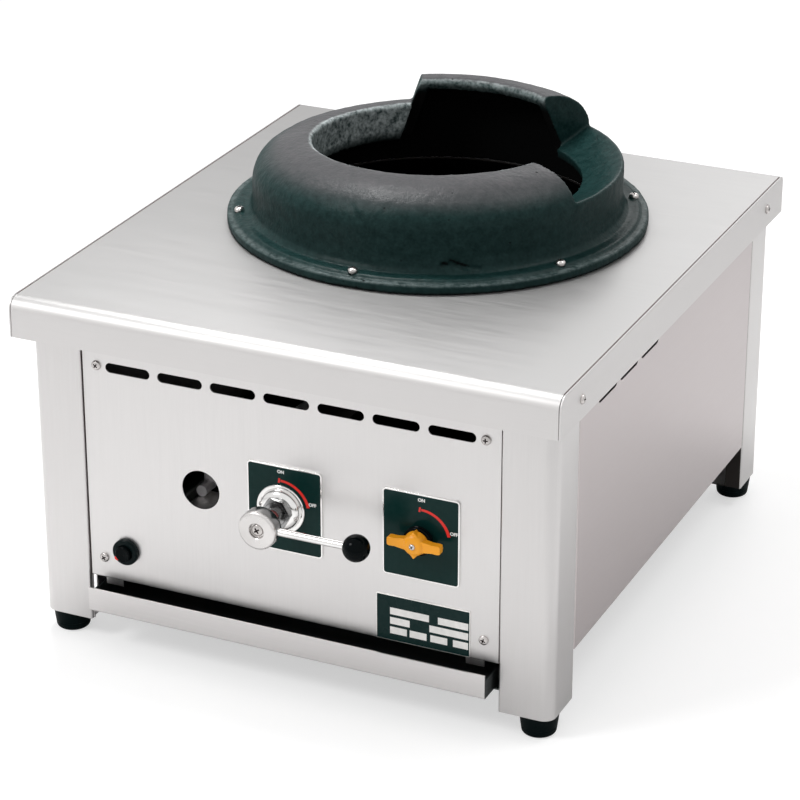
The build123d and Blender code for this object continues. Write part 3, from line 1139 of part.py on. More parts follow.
def pilot_tube():
    """Small gas tube from the pilot cock, over the main valve, to the pilot burner's block."""
    rise_x = PILOT_OUTLET_X - PILOT_TUBE_RUN
    points = [(PILOT_OUTLET_X, MANIFOLD_Y, AXIS_Z), (rise_x, MANIFOLD_Y, AXIS_Z),
              (rise_x, MANIFOLD_Y, PILOT_TUBE_Z), (PILOT_BURNER_X, PILOT_BLOCK_Y, PILOT_TUBE_Z),
              (PILOT_BURNER_X, PILOT_BLOCK_Y, PILOT_BLOCK_TOP_Z)]
    return pipe_run(points, PILOT_TUBE_BEND, PILOT_TUBE_RADIUS, PILOT_TUBE_BORE)


def electrode_clip():
    """Flat clip on the pilot riser that holds the electrode."""
    low_x = ELECTRODE_X - ELECTRODE_RADIUS - CLIP_MARGIN
    high_x = PILOT_RISER_X + PILOT_BURNER_RADIUS + CLIP_MARGIN
    half = PILOT_BURNER_RADIUS + CLIP_MARGIN
    clip = block((low_x, PILOT_RISER_Y - half, CLIP_Z),
                 (high_x, PILOT_RISER_Y + half, CLIP_Z + CLIP_THICK))
    for x, radius in ((PILOT_RISER_X, PILOT_BURNER_RADIUS), (ELECTRODE_X, ELECTRODE_RADIUS)):
        clip -= rod_z(radius + SCREW_CLEARANCE, CLIP_Z - 1, CLIP_Z + CLIP_THICK + 1, x, PILOT_RISER_Y)
    return clip


def electrode():
    """Ceramic ignition electrode with a bent wire tip."""
    base_z = CLIP_Z - ELECTRODE_LENGTH / 2
    top_z = base_z + ELECTRODE_LENGTH
    tip_z = PILOT_RISER_TOP_Z + ELECTRODE_OVER
    ceramic = rod_z(ELECTRODE_RADIUS, base_z, top_z, ELECTRODE_X, PILOT_RISER_Y)
    points = [(ELECTRODE_X, PILOT_RISER_Y, top_z - ELECTRODE_BEND), (ELECTRODE_X, PILOT_RISER_Y, tip_z),
              (ELECTRODE_X + ELECTRODE_TIP, PILOT_RISER_Y, tip_z)]
    path = FilletPolyline(*points, radius=ELECTRODE_BEND)
    return ceramic + sweep(Plane(path @ 0, z_dir=path % 0) * Circle(ELECTRODE_WIRE), path=path)


def igniter_body():
    """Piezo igniter: bezel in front, plain barrel behind, bored for its button."""
    front = PANEL_FRONT_Y - BEZEL_THICK
    body = turned_y([(0, PANEL_FRONT_Y + IGNITER_LENGTH), (IGNITER_RADIUS, PANEL_FRONT_Y + IGNITER_LENGTH),
                     (IGNITER_RADIUS, PANEL_FRONT_Y), (BEZEL_RADIUS, PANEL_FRONT_Y),
                     (BEZEL_RADIUS, front + BEZEL_EDGE), (BEZEL_RADIUS - BEZEL_EDGE, front), (0, front)],
                    IGNITER_X, IGNITER_Z)
    depth = BUTTON_TRAVEL + BUTTON_DEPTH
    return body - rod_y(BUTTON_RADIUS + BUTTON_CLEARANCE, front - 1, front + depth, IGNITER_X, IGNITER_Z)


def igniter_button():
    """Push button in the igniter's bore."""
    front = PANEL_FRONT_Y - BEZEL_THICK - BUTTON_PROUD
    rear = PANEL_FRONT_Y - BEZEL_THICK + BUTTON_DEPTH - SEAT_GAP
    edge = BUTTON_RADIUS - BEZEL_EDGE
    return turned_y([(0, rear), (BUTTON_RADIUS, rear), (BUTTON_RADIUS, front + BEZEL_EDGE), (edge, front),
                     (0, front)], IGNITER_X, IGNITER_Z)


def igniter_nut():
    """Nut that clamps the igniter to the panel."""
    rear = PANEL_BACK_Y + IGNITER_NUT_THICK
    nut = hex_y(IGNITER_NUT_HEX, PANEL_BACK_Y, rear, IGNITER_X, IGNITER_Z)
    return nut - rod_y(IGNITER_RADIUS + SCREW_CLEARANCE, PANEL_BACK_Y - 1, rear + 1, IGNITER_X, IGNITER_Z)


# ---------------------------------------------------------------- drip tray
def drip_tray():
    """Open folded tray with a taller front face, turned back under the pan."""
    z0 = TRAY_BOTTOM_Z
    z1 = z0 + TRAY_WALL_HEIGHT
    front = TRAY_FRONT_Y + TRAY_SHEET
    half = TRAY_HALF
    outer = block((-half, front, z0), (half, TRAY_REAR_Y, z1))
    outer = fillet(outer.edges().filter_by(Axis.Z).group_by(Axis.Y)[-1], TRAY_CORNER)
    inner = block((-half + TRAY_SHEET, front, z0 + TRAY_SHEET),
                  (half - TRAY_SHEET, TRAY_REAR_Y - TRAY_SHEET, z1 + 1))
    inner = fillet(inner.edges().filter_by(Axis.Z).group_by(Axis.Y)[-1], TRAY_CORNER - TRAY_SHEET)
    lip_y = front + TRAY_LIP
    lip = [(TRAY_FRONT_Y, z0 + TRAY_FRONT_HEIGHT), (TRAY_FRONT_Y, z0), (lip_y, z0)]
    face = extrude(Plane.YZ * folded(lip, [SHARP_BEND], TRAY_SHEET), half, both=True)
    return (outer - inner) + face


def tray_runner(sign_x):
    """Folded runner: a ledge under the tray, an upright web and a flange under the side panel."""
    ledge_z = TRAY_BOTTOM_Z - SEAT_GAP
    path = [(WEB_X - RUNNER_LEDGE, ledge_z), (WEB_X, ledge_z), (WEB_X, SIDE_BOTTOM),
            (RUNNER_EDGE_X, SIDE_BOTTOM)]
    section = folded(path, [RUNNER_BEND, RUNNER_BEND + SHEET], SHEET, left=False)
    length = RUNNER_REAR_Y - RUNNER_FRONT_Y
    runner = Pos(0, RUNNER_REAR_Y, 0) * extrude(Plane.XZ * section, length)
    return runner if sign_x > 0 else mirror(runner, about=Plane.YZ)


# ---------------------------------------------------------------- all nodes
def build_nodes():
    """Every node of the range, by name."""
    nodes = {"top_plate": top_plate()}
    for name, sign_x, sign_y in corners():
        nodes["post_" + name] = post(sign_x, sign_y)
        nodes["foot_" + name] = foot(sign_x, sign_y)
    for name, sign_x in (("left", -1), ("right", 1)):
        nodes["side_panel_" + name] = side_panel(sign_x)
        nodes["tray_runner_" + name] = tray_runner(sign_x)
    nodes.update({
        "foot_screws": foot_screws(),
        "front_panel": front_panel(),
        "rear_panel": rear_panel(),
        "front_panel_screws": panel_screws(PANEL_FRONT_Y, -1),
        "rear_panel_screws": panel_screws(REAR_PANEL_Y, 1),
        "skirt_screws": skirt_screws(),
        "wok_ring": wok_ring(),
        "ring_screws": ring_screws(),
        "fire_pot": fire_pot(),
        "burner_bowl": burner_bowl(),
        "burner_cap": burner_cap(),
        "mixing_tube": mixing_tube(),
        "air_shutter": air_shutter(),
        "burner_bracket": burner_bracket(),
        "gas_manifold": gas_manifold(),
        "gas_inlet": gas_inlet(),
        "main_valve_body": main_valve_body(),
        "main_valve_stem": main_valve_stem(),
        "injector": injector(),
        "valve_escutcheon": valve_escutcheon(),
        "neck_nut": neck_nut(),
        "lever_hub": lever_hub(),
        "lever_rod": lever_rod(),
        "lever_ball": lever_ball(),
        "lever_screw": lever_screw(),
        "pilot_valve_body": pilot_valve_body(),
        "pilot_stem": pilot_stem(),
        "knob_collar": knob_collar(),
        "pilot_knob": pilot_knob(),
        "pilot_knob_screw": pilot_knob_screw(),
        "main_dial_plate": dial_plate(VALVE_X, MAIN_DIAL_SHIFT, VALVE_NECK_RADIUS),
        "pilot_dial_plate": dial_plate(PILOT_X, PILOT_DIAL_SHIFT, PILOT_NECK_RADIUS),
        "rating_plate": rating_plate(),
        "pilot_burner": pilot_burner(),
        "pilot_bracket": pilot_bracket(),
        "pilot_tube": pilot_tube(),
        "electrode_clip": electrode_clip(),
        "electrode": electrode(),
        "igniter_body": igniter_body(),
        "igniter_button": igniter_button(),
        "igniter_nut": igniter_nut(),
        "drip_tray": drip_tray(),
    })
    return nodes


for node_name, node_solid in build_nodes().items():
    node_solid.label = node_name
    export_step(node_solid, "parts/" + node_name + ".step")
    print(node_name, round(node_solid.volume))
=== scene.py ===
import json
import logging
import math
from dataclasses import dataclass
from enum import Enum
from typing import Callable, Iterable, Optional, Sequence

import bmesh
import bpy
from mathutils import Matrix, Vector, noise


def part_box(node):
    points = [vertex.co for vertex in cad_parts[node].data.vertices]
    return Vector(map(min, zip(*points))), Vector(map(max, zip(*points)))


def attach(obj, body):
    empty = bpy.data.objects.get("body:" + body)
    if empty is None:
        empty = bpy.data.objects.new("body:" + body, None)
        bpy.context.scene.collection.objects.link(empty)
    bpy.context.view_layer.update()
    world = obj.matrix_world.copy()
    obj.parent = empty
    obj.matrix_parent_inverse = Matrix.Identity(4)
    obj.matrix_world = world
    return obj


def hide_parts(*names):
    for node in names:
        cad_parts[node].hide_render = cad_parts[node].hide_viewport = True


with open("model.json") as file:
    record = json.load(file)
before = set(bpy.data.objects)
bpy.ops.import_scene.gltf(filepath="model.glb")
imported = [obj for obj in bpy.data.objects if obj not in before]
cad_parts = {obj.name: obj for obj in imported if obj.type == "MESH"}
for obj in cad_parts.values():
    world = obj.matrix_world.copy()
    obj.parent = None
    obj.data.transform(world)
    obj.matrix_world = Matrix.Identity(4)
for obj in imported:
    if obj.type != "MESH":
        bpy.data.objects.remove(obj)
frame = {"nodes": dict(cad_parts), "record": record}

# The looks of a single-burner wok range.
#
# Lengths in this file are millimetres in the frame's own axes (+X to the cook's right, -Y towards
# the cook, +Z up, the floor at zero), but for the studio's camera and lamps, which are in metres.
# MeshMaker turns millimetres into metres when it makes an object.

MM = 0.001
SHARP_DEG = 32.0  # edges that turn more than this stay sharp
WELD = 0.004  # vertices of a new mesh that lie closer than this are joined
SLIVER = 0.002  # faces thinner than this are taken out
CAD_WELD = 0.003  # the same as WELD for a copy of a CAD mesh
CAD_FLAT_DEG = 0.3  # its faces that turn less than this are merged
BROKEN = ((3.1, 1.0), (1.6, 0.5))  # a broken iron edge, as pairs of (size of a lump, height)
LOG = logging.getLogger("wok_range")
# the ring's inside below its lips and its undersides: soot, darkened further as painted shade
SOOT_AND_SHADE = "soot_and_shade"
# a painted highlight on the ring's lips and on the flange's ledge
HIGHLIGHT_MASK = "painted_highlight"

Obj = bpy.types.Object
Mesh = bpy.types.Mesh
Material = bpy.types.Material
Socket = bpy.types.NodeSocket
Node = bpy.types.Node
Tree = bpy.types.NodeTree
Point2 = tuple[float, float]
Point3 = tuple[float, float, float]
Colour = tuple[float, float, float]


def clamp(value: float) -> float:
    """Limits a value to the range from 0 to 1."""
    return min(max(value, 0.0), 1.0)


# ------------------------------------------------------------------ flat shapes
class Axis(Enum):
    """The row axis that a prism runs along or a turned piece spins about."""

    X = "X"
    Y = "Y"
    Z = "Z"

    def place(self, u: float, v: float, w: float) -> Point3:
        """Turns section coordinates and a run into a point.

        Args:
            u, v: The section coordinates, in the order of the two other axes.
            w: The run along this axis.

        Returns:
            The point.
        """
        if self is Axis.X:
            return (w, u, v)
        if self is Axis.Y:
            return (u, w, v)
        return (u, v, w)


def arc(cx: float, cy: float, rx: float, start: float, end: float, steps: int,
        ry: Optional[float] = None) -> list[Point2]:
    """Samples an elliptical arc.

    Args:
        cx, cy: The centre.
        rx, ry: The radii; a circle when ry is left out.
        start, end: Angles in degrees.
        steps: The number of chords.

    Returns:
        The points, both ends included.
    """
    ry = rx if ry is None else ry
    angles = [math.radians(start + (end - start) * i / steps) for i in range(steps + 1)]
    return [(cx + rx * math.cos(a), cy + ry * math.sin(a)) for a in angles]


def rectangle(x0: float, y0: float, x1: float, y1: float) -> list[Point2]:
    """Returns the outline of a rectangle from its lower left to its upper right corner."""
    return [(x0, y0), (x1, y0), (x1, y1), (x0, y1)]


def rounded_rectangle(x0: float, y0: float, x1: float, y1: float, radius: float,
                      steps: int = 6) -> list[Point2]:
    """Draws a rectangle with round corners.

    Args:
        x0, y0, x1, y1: The lower left and the upper right corner.
        radius: The radius of the corners.
        steps: The number of chords in a corner.

    Returns:
        The closed outline.
    """
    out: list[Point2] = []
    for cx, cy, start in ((x1 - radius, y1 - radius, 0), (x0 + radius, y1 - radius, 90),
                          (x0 + radius, y0 + radius, 180), (x1 - radius, y0 + radius, 270)):
        out += arc(cx, cy, radius, start, start + 90, steps)
    return out


# ------------------------------------------------------------------ meshes
class MeshMaker:
    """Collects vertices and faces in millimetres and makes objects in metres."""

    def __init__(self) -> None:
        """Starts with nothing collected."""
        self.verts: list[Point3] = []
        self.faces: list[tuple[int, ...]] = []

    def add(self, verts: Iterable[Point3], faces: Iterable[Sequence[int]]) -> "MeshMaker":
        """Adds loose geometry.

        Args:
            verts: Its vertices.
            faces: Its faces, which count from its own first vertex.

        Returns:
            The maker itself.
        """
        base = len(self.verts)
        self.verts += [tuple(v) for v in verts]
        self.faces += [tuple(base + i for i in face) for face in faces]
        return self

    def prism(self, section: Sequence[Point2], axis: Axis, low: float, high: float) -> "MeshMaker":
        """Runs a closed outline along an axis, with both ends capped.

        Args:
            section: The outline.
            axis: The axis to run along.
            low, high: Where the run starts and ends.

        Returns:
            The maker itself.
        """
        n = len(section)
        verts = [axis.place(u, v, w) for w in (low, high) for u, v in section]
        sides = [(i, (i + 1) % n, n + (i + 1) % n, n + i) for i in range(n)]
        return self.add(verts, sides + [tuple(range(n))[::-1], tuple(range(n, 2 * n))])

    def turned(self, profile: Sequence[Point2], axis: Axis, centre: Point2, steps: int) -> "MeshMaker":
        """Spins a closed profile of (radius, run) points about an axis.

        Args:
            profile: The outline; a radius of zero lies on the axis.
            axis: The axis to spin about.
            centre: The axis' place across its own direction.
            steps: Facets round the turn.

        Returns:
            The maker itself.
        """
        n = len(profile)
        angles = [2 * math.pi * s / steps for s in range(steps)]
        verts = [axis.place(centre[0] + r * math.cos(a), centre[1] + r * math.sin(a), w)
                 for a in angles for r, w in profile]
        rows = [(s * n, (s + 1) % steps * n) for s in range(steps)]
        faces = [(here + i, here + (i + 1) % n, there + (i + 1) % n, there + i)
                 for here, there in rows for i in range(n)]
        return self.add(verts, faces)

    def build(self, name: str, sharp_deg: float = SHARP_DEG) -> Obj:
        """Makes the object, smooth but for the edges sharper than an angle.

        Args:
            name: The piece's name.
            sharp_deg: Edges that turn more than this stay sharp.

        Returns:
            The new object, linked to the scene.
        """
        mesh = bpy.data.meshes.new(name)
        mesh.from_pydata([(x * MM, y * MM, z * MM) for x, y, z in self.verts], [], self.faces)
        tidy_mesh(mesh, sharp_deg)
        return linked(name, mesh)


def linked(name: str, data: bpy.types.ID) -> Obj:
    """Makes an object and links it to the scene.

    Args:
        name: Its name.
        data: Its mesh, curve, lamp or camera.

    Returns:
        The object.
    """
    obj = bpy.data.objects.new(name, data)
    bpy.context.scene.collection.objects.link(obj)
    return obj


def tidy_mesh(mesh: Mesh, sharp_deg: float) -> None:
    """Joins doubled vertices, drops flat slivers, turns faces outwards and marks sharp edges.

    Args:
        mesh: The mesh.
        sharp_deg: Edges that turn more than this stay sharp.
    """
    bm = bmesh.new()
    bm.from_mesh(mesh)
    bmesh.ops.remove_doubles(bm, verts=bm.verts, dist=WELD * MM)
    bmesh.ops.dissolve_degenerate(bm, dist=SLIVER * MM, edges=bm.edges)
    bmesh.ops.recalc_face_normals(bm, faces=bm.faces)
    limit = math.radians(sharp_deg)
    for face in bm.faces:
        face.smooth = True
    for edge in bm.edges:
        edge.smooth = len(edge.link_faces) == 2 and edge.calc_face_angle(0.0) < limit
    bm.to_mesh(mesh)
    bm.free()


def modify(obj: Obj, name: str, kind: str, **values: object) -> None:
    """Adds a modifier.

    Args:
        obj: The object that gets it.
        name: Its name.
        kind: Its type.
        values: Properties to set on it.
    """
    modifier = obj.modifiers.new(name, kind)
    for key, value in values.items():
        setattr(modifier, key, value)


def settle(obj: Obj, sharp_deg: Optional[float] = None) -> Obj:
    """Applies an object's modifiers to its mesh.

    Args:
        obj: The object.
        sharp_deg: Edges that turn more than this are marked sharp again; left out, none is marked.

    Returns:
        The object.
    """
    graph = bpy.context.evaluated_depsgraph_get()
    mesh = bpy.data.meshes.new_from_object(obj.evaluated_get(graph), depsgraph=graph)
    old = obj.data
    obj.modifiers.clear()
    obj.data = mesh
    mesh.name = obj.name
    bpy.data.meshes.remove(old)
    if sharp_deg is not None:
        tidy_mesh(mesh, sharp_deg)
    return obj


def carve(obj: Obj, cutter: MeshMaker, sharp_deg: float = SHARP_DEG) -> Obj:
    """Cuts shapes out of an object.

    Args:
        obj: The object.
        cutter: The shapes to cut out.
        sharp_deg: Edges that turn more than this stay sharp.

    Returns:
        The object.
    """
    tool = cutter.build(obj.name + "_cutter")
    modify(obj, "cut", "BOOLEAN", operation="DIFFERENCE", solver="EXACT", use_self=True, object=tool)
    settle(obj, sharp_deg)
    bpy.data.meshes.remove(tool.data)
    return obj


def soften(obj: Obj, width: float) -> Obj:
    """Breaks an object's sharp edges by a small round, and keeps its flat faces flat.

    Args:
        obj: The object.
        width: The width of the broken edge in millimetres.

    Returns:
        The object.
    """
    modify(obj, "edge_break", "BEVEL", width=width * MM, segments=2, limit_method="ANGLE",
           angle_limit=math.radians(SHARP_DEG), miter_outer="MITER_ARC", use_clamp_overlap=True,
           harden_normals=True)
    return settle(obj)


def recast(obj: Obj, voxel: float, passes: int) -> Obj:
    """Remeshes an object evenly and smooths it, as a mould leaves it.

    Args:
        obj: The object.
        voxel: The size of the new mesh's cells in millimetres.
        passes: How often it is smoothed.

    Returns:
        The object.
    """
    modify(obj, "skin", "REMESH", mode="VOXEL", voxel_size=voxel * MM)
    modify(obj, "soft", "SMOOTH", factor=0.5, iterations=passes)
    settle(obj)
    for polygon in obj.data.polygons:
        polygon.use_smooth = True
    return obj


# ------------------------------------------------------------------ node trees
class Nodes:
    """A node tree under construction."""

    def __init__(self, tree: Tree) -> None:
        """Starts on a tree, which is emptied."""
        self.tree = tree
        tree.nodes.clear()

    def node(self, kind: str, **values: object) -> Node:
        """Adds a node.

        Args:
            kind: Its type.
            values: Properties to set on it.

        Returns:
            The node.
        """
        made = self.tree.nodes.new(kind)
        for key, value in values.items():
            setattr(made, key, value)
        return made

    def link(self, source: Socket, target: Socket) -> None:
        """Joins two sockets."""
        self.tree.links.new(source, target)

    def feed(self, socket: Socket, value: object) -> None:
        """Feeds an input.

        Args:
            socket: The input.
            value: A socket to link to it, or else its value: a number, a vector or a colour.
        """
        if isinstance(value, Socket):
            self.link(value, socket)
        else:
            socket.default_value = (*value, 1.0) if socket.type == "RGBA" else value

    def made(self, kind: str, output: str, inputs: dict[str | int, object], **values: object) -> Socket:
        """Adds a node, feeds it and returns one of its outputs.

        Args:
            kind: The node's type.
            output: The output's name.
            inputs: What feeds its inputs, by name or number.
            values: Properties to set on it.

        Returns:
            The output.
        """
        node = self.node(kind, **values)
        for key, value in inputs.items():
            self.feed(node.inputs[key], value)
        return node.outputs[output]

    def math(self, operation: str, a: object, b: object) -> Socket:
        """Joins two values, each a socket or a number, by an operation."""
        return self.made("ShaderNodeMath", "Value", {0: a, 1: b}, operation=operation)

    def height_of(self, vector: Socket) -> Socket:
        """Returns the Z component of a vector."""
        return self.made("ShaderNodeSeparateXYZ", "Z", {"Vector": vector})

    def spread(self, value: Socket, low: float, high: float, from_low: float = 0.3, from_high: float = 0.7,
               smooth: bool = False) -> Socket:
        """Maps a value's usual range to another range, clamped.

        Args:
            value: The value.
            low, high: The range it is mapped to.
            from_low, from_high: The range it comes from; by default where most of a noise lies.
            smooth: Whether the ends are eased.

        Returns:
            The mapped value.
        """
        inputs = {"Value": value, "From Min": from_low, "From Max": from_high, "To Min": low, "To Max": high}
        kind = "SMOOTHSTEP" if smooth else "LINEAR"
        return self.made("ShaderNodeMapRange", "Result", inputs, interpolation_type=kind)


class NodeGroup(Nodes):
    """A shared shader group under construction; it takes vectors and gives values."""

    def __init__(self, name: str) -> None:
        """Starts a group whose first input is the place on the piece.

        Args:
            name: The group's name.
        """
        super().__init__(bpy.data.node_groups.new(name, "ShaderNodeTree"))
        self.enter = self.node("NodeGroupInput")
        self.leave = self.node("NodeGroupOutput")
        self.vector = self.takes("Vector", (0.0, 0.0, 0.0))

    def takes(self, name: str, default: Point3) -> Socket:
        """Adds a vector input.

        Args:
            name: Its name.
            default: Its value when nothing is linked to it.

        Returns:
            The socket inside the group.
        """
        socket = self.tree.interface.new_socket(name=name, in_out="INPUT", socket_type="NodeSocketVector")
        socket.default_value = default
        return self.enter.outputs[name]

    def gives(self, **values: Socket) -> Tree:
        """Adds value outputs.

        Args:
            values: What feeds each of them, by the output's name.

        Returns:
            The finished group.
        """
        for name, value in values.items():
            self.tree.interface.new_socket(name=name, in_out="OUTPUT", socket_type="NodeSocketFloat")
            self.link(value, self.leave.inputs[name])
        return self.tree

    def noise(self, vector: Socket, scale: float, detail: float) -> Socket:
        """Adds a noise texture.

        Args:
            vector: Where it is read.
            scale: How many lumps it has in a metre.
            detail: Its octaves.

        Returns:
            Its value.
        """
        inputs = {"Vector": vector, "Scale": scale, "Detail": detail}
        return self.made("ShaderNodeTexNoise", "Fac", inputs)

    def ramp(self, value: Socket, low: float, high: float) -> Socket:
        """Eases a value from 0 to 1 over a range."""
        return self.spread(value, 0.0, 1.0, low, high, smooth=True)


class Effect(Enum):
    """The shared shader groups."""

    SATIN = "satin_sheet"
    CASTING = "cast_skin"
    WEAR = "handling_marks"

    def tree(self) -> Tree:
        """Returns the group, made on first use."""
        return bpy.data.node_groups.get(self.value) or EFFECT_MAKERS[self]()


def brushed_group() -> Tree:
    """Makes a satin sheet's skin: fine streaks along a direction, specks and a slow cloud.

    Returns:
        The group, which gives Height, Streak and Cloud.
    """
    group = NodeGroup(Effect.SATIN.value)
    along = group.takes("Along", (1.0, 1.0, 1.0))
    drawn = group.made("ShaderNodeVectorMath", "Vector", {0: group.vector, 1: along}, operation="MULTIPLY")
    fine = group.math("MULTIPLY", group.noise(drawn, scale=900.0, detail=3.0), 0.65)
    coarse = group.math("MULTIPLY", group.noise(drawn, scale=240.0, detail=2.0), 0.35)
    streak = group.math("ADD", fine, coarse)
    speck = group.math("MULTIPLY", group.noise(group.vector, scale=420.0, detail=2.0), 0.25)
    cloud = group.noise(group.vector, scale=5.0, detail=1.0)
    return group.gives(Height=group.math("ADD", streak, speck), Streak=streak, Cloud=cloud)


def casting_group() -> Tree:
    """Makes a sand casting's skin: grit, soft lumps and scattered pits.

    Returns:
        The group, which gives Height, Pits and Mottle.
    """
    group = NodeGroup(Effect.CASTING.value)
    cell = group.made("ShaderNodeTexVoronoi", "Distance",
                      {"Vector": group.vector, "Scale": 130.0, "Randomness": 1.0}, feature="F1")
    hollow = group.spread(cell, 1.0, 0.0, 0.06, 0.18, smooth=True)
    rare = group.ramp(group.noise(group.vector, scale=38.0, detail=2.0), 0.62, 0.70)
    pit = group.math("MULTIPLY", hollow, rare)
    grit = group.math("MULTIPLY", group.noise(group.vector, scale=420.0, detail=4.0), 0.42)
    lumps = group.math("MULTIPLY", group.noise(group.vector, scale=160.0, detail=4.0), 0.58)
    height = group.math("SUBTRACT", group.math("ADD", grit, lumps), group.math("MULTIPLY", pit, 0.9))
    return group.gives(Height=height, Pits=pit, Mottle=group.noise(group.vector, scale=22.0, detail=5.0))


def wear_group() -> Tree:
    """Makes handling marks: a mask on proud edges and a mask of soft smudges.

    Returns:
        The group, which gives Edge and Smudge.
    """
    group = NodeGroup(Effect.WEAR.value)
    proud = group.ramp(group.node("ShaderNodeNewGeometry").outputs["Pointiness"], 0.515, 0.60)
    broken = group.ramp(group.noise(group.vector, scale=210.0, detail=4.0), 0.35, 0.65)
    smudge = group.ramp(group.noise(group.vector, scale=30.0, detail=4.0), 0.35, 0.70)
    return group.gives(Edge=group.math("MULTIPLY", proud, broken), Smudge=smudge)


EFFECT_MAKERS: dict[Effect, Callable[[], Tree]] = {
    Effect.SATIN: brushed_group, Effect.CASTING: casting_group, Effect.WEAR: wear_group}


class Shader(Nodes):
    """One material under construction, with its Principled shader."""

    def __init__(self, name: str) -> None:
        """Starts a material.

        Args:
            name: The material's name.
        """
        self.material = bpy.data.materials.new(name)
        self.material.use_nodes = True
        super().__init__(self.material.node_tree)
        self.output = self.node("ShaderNodeOutputMaterial")
        self.surface = self.node("ShaderNodeBsdfPrincipled")
        self.link(self.surface.outputs["BSDF"], self.output.inputs["Surface"])
        self.place = self.node("ShaderNodeTexCoord").outputs["Object"]

    def effect(self, effect: Effect) -> Node:
        """Adds a shared group, fed with the piece's own coordinates.

        Args:
            effect: Which group.

        Returns:
            Its node.
        """
        node = self.node("ShaderNodeGroup", node_tree=effect.tree())
        self.link(self.place, node.inputs["Vector"])
        return node

    def upward(self, low: float, high: float) -> Socket:
        """Masks what looks up.

        Args:
            low, high: The heights of the normal where the mask starts and where it is full.

        Returns:
            The mask.
        """
        normal = self.node("ShaderNodeNewGeometry").outputs["Normal"]
        return self.spread(self.height_of(normal), 0.0, 1.0, low, high)

    def mask(self, name: str) -> Socket:
        """Returns a mask that is stored on the mesh."""
        return self.made("ShaderNodeAttribute", "Fac", {}, attribute_name=name)

    def blend(self, mask: Socket, low: object, high: object) -> Socket:
        """Mixes two colours by a mask.

        Args:
            mask: The mask.
            low, high: The colours where the mask is 0 and 1, each a colour or a socket.

        Returns:
            The mixed colour.
        """
        mix = self.node("ShaderNodeMix", data_type="RGBA")
        self.link(mask, mix.inputs["Factor"])
        for socket, value in zip([socket for socket in mix.inputs if socket.type == "RGBA"], (low, high)):
            self.feed(socket, value)
        return next(socket for socket in mix.outputs if socket.type == "RGBA")

    def bump(self, height: Socket, strength: float, distance: float) -> None:
        """Feeds a height to the shader's normal.

        Args:
            height: The height, from 0 to 1.
            strength: How much of the relief shows.
            distance: The relief in millimetres.
        """
        inputs = {"Height": height, "Strength": strength, "Distance": distance * MM}
        self.set(Normal=self.made("ShaderNodeBump", "Normal", inputs))

    def set(self, **values: object) -> None:
        """Feeds the shader's inputs by name, with spaces written as underscores."""
        for key, value in values.items():
            self.feed(self.surface.inputs[key.replace("_", " ")], value)


# ------------------------------------------------------------------ finishes
class Grain(Enum):
    """The direction of a sheet's grain, as a stretch of the texture's space."""

    ACROSS = (0.03, 1.0, 1.0)
    DEPTH = (1.0, 0.03, 1.0)
    UPRIGHT = (1.0, 1.0, 0.03)


@dataclass(frozen=True)
class Finish:
    """A finish: a name, the record's slot that it stands for, and a way to make its material."""

    name: str
    slot: str

    def material(self) -> Material:
        """Makes the finish's material, or finds it when it is there already.

        Returns:
            The material.
        """
        found = bpy.data.materials.get("finish_" + self.name)
        if found is not None:
            return found
        shader = Shader("finish_" + self.name)
        self.paint(shader)
        return shader.material

    def paint(self, shader: Shader) -> None:
        """Builds the nodes of the material under construction."""
        raise NotImplementedError


@dataclass(frozen=True)
class SatinSheet(Finish):
    """Rolled stainless sheet with a fine satin grain."""

    tint: Colour = (0.67, 0.66, 0.655)
    contrast: float = 0.055
    rough: float = 0.36
    grain: Grain = Grain.ACROSS
    relief: float = 0.008
    # a lighter tint for upright faces: painted light and shade between the top and the skirts
    upright: Optional[Colour] = None

    def paint(self, shader: Shader) -> None:
        """Builds streaks and a faint cloud, and another tint where the sheet stands up: the flat top and the
        upright faces are tinted apart as painted light and shade.

        Args:
            shader: The material under construction.
        """
        satin = shader.effect(Effect.SATIN)
        shader.feed(satin.inputs["Along"], self.grain.value)
        base = self.grained(shader, satin, self.tint)
        if self.upright is not None:
            base = shader.blend(shader.upward(0.25, 0.95), self.grained(shader, satin, self.upright), base)
        rough = shader.spread(satin.outputs["Streak"], self.rough - 0.04, self.rough + 0.05)
        shader.set(Base_Color=base, Roughness=rough, Metallic=1.0)
        shader.bump(satin.outputs["Height"], 0.35, self.relief)

    def grained(self, shader: Shader, satin: Node, tint: Colour) -> Socket:
        """Breaks up a tint by the grain and the cloud.

        Args:
            shader: The material under construction.
            satin: Its satin group.
            tint: The tint.

        Returns:
            The colour.
        """
        shade = tuple(c * (1 - self.contrast) for c in tint)
        streaked = shader.blend(shader.spread(satin.outputs["Streak"], 0.0, 1.0), shade, tint)
        return shader.blend(shader.spread(satin.outputs["Cloud"], 0.0, 0.5), streaked, shade)


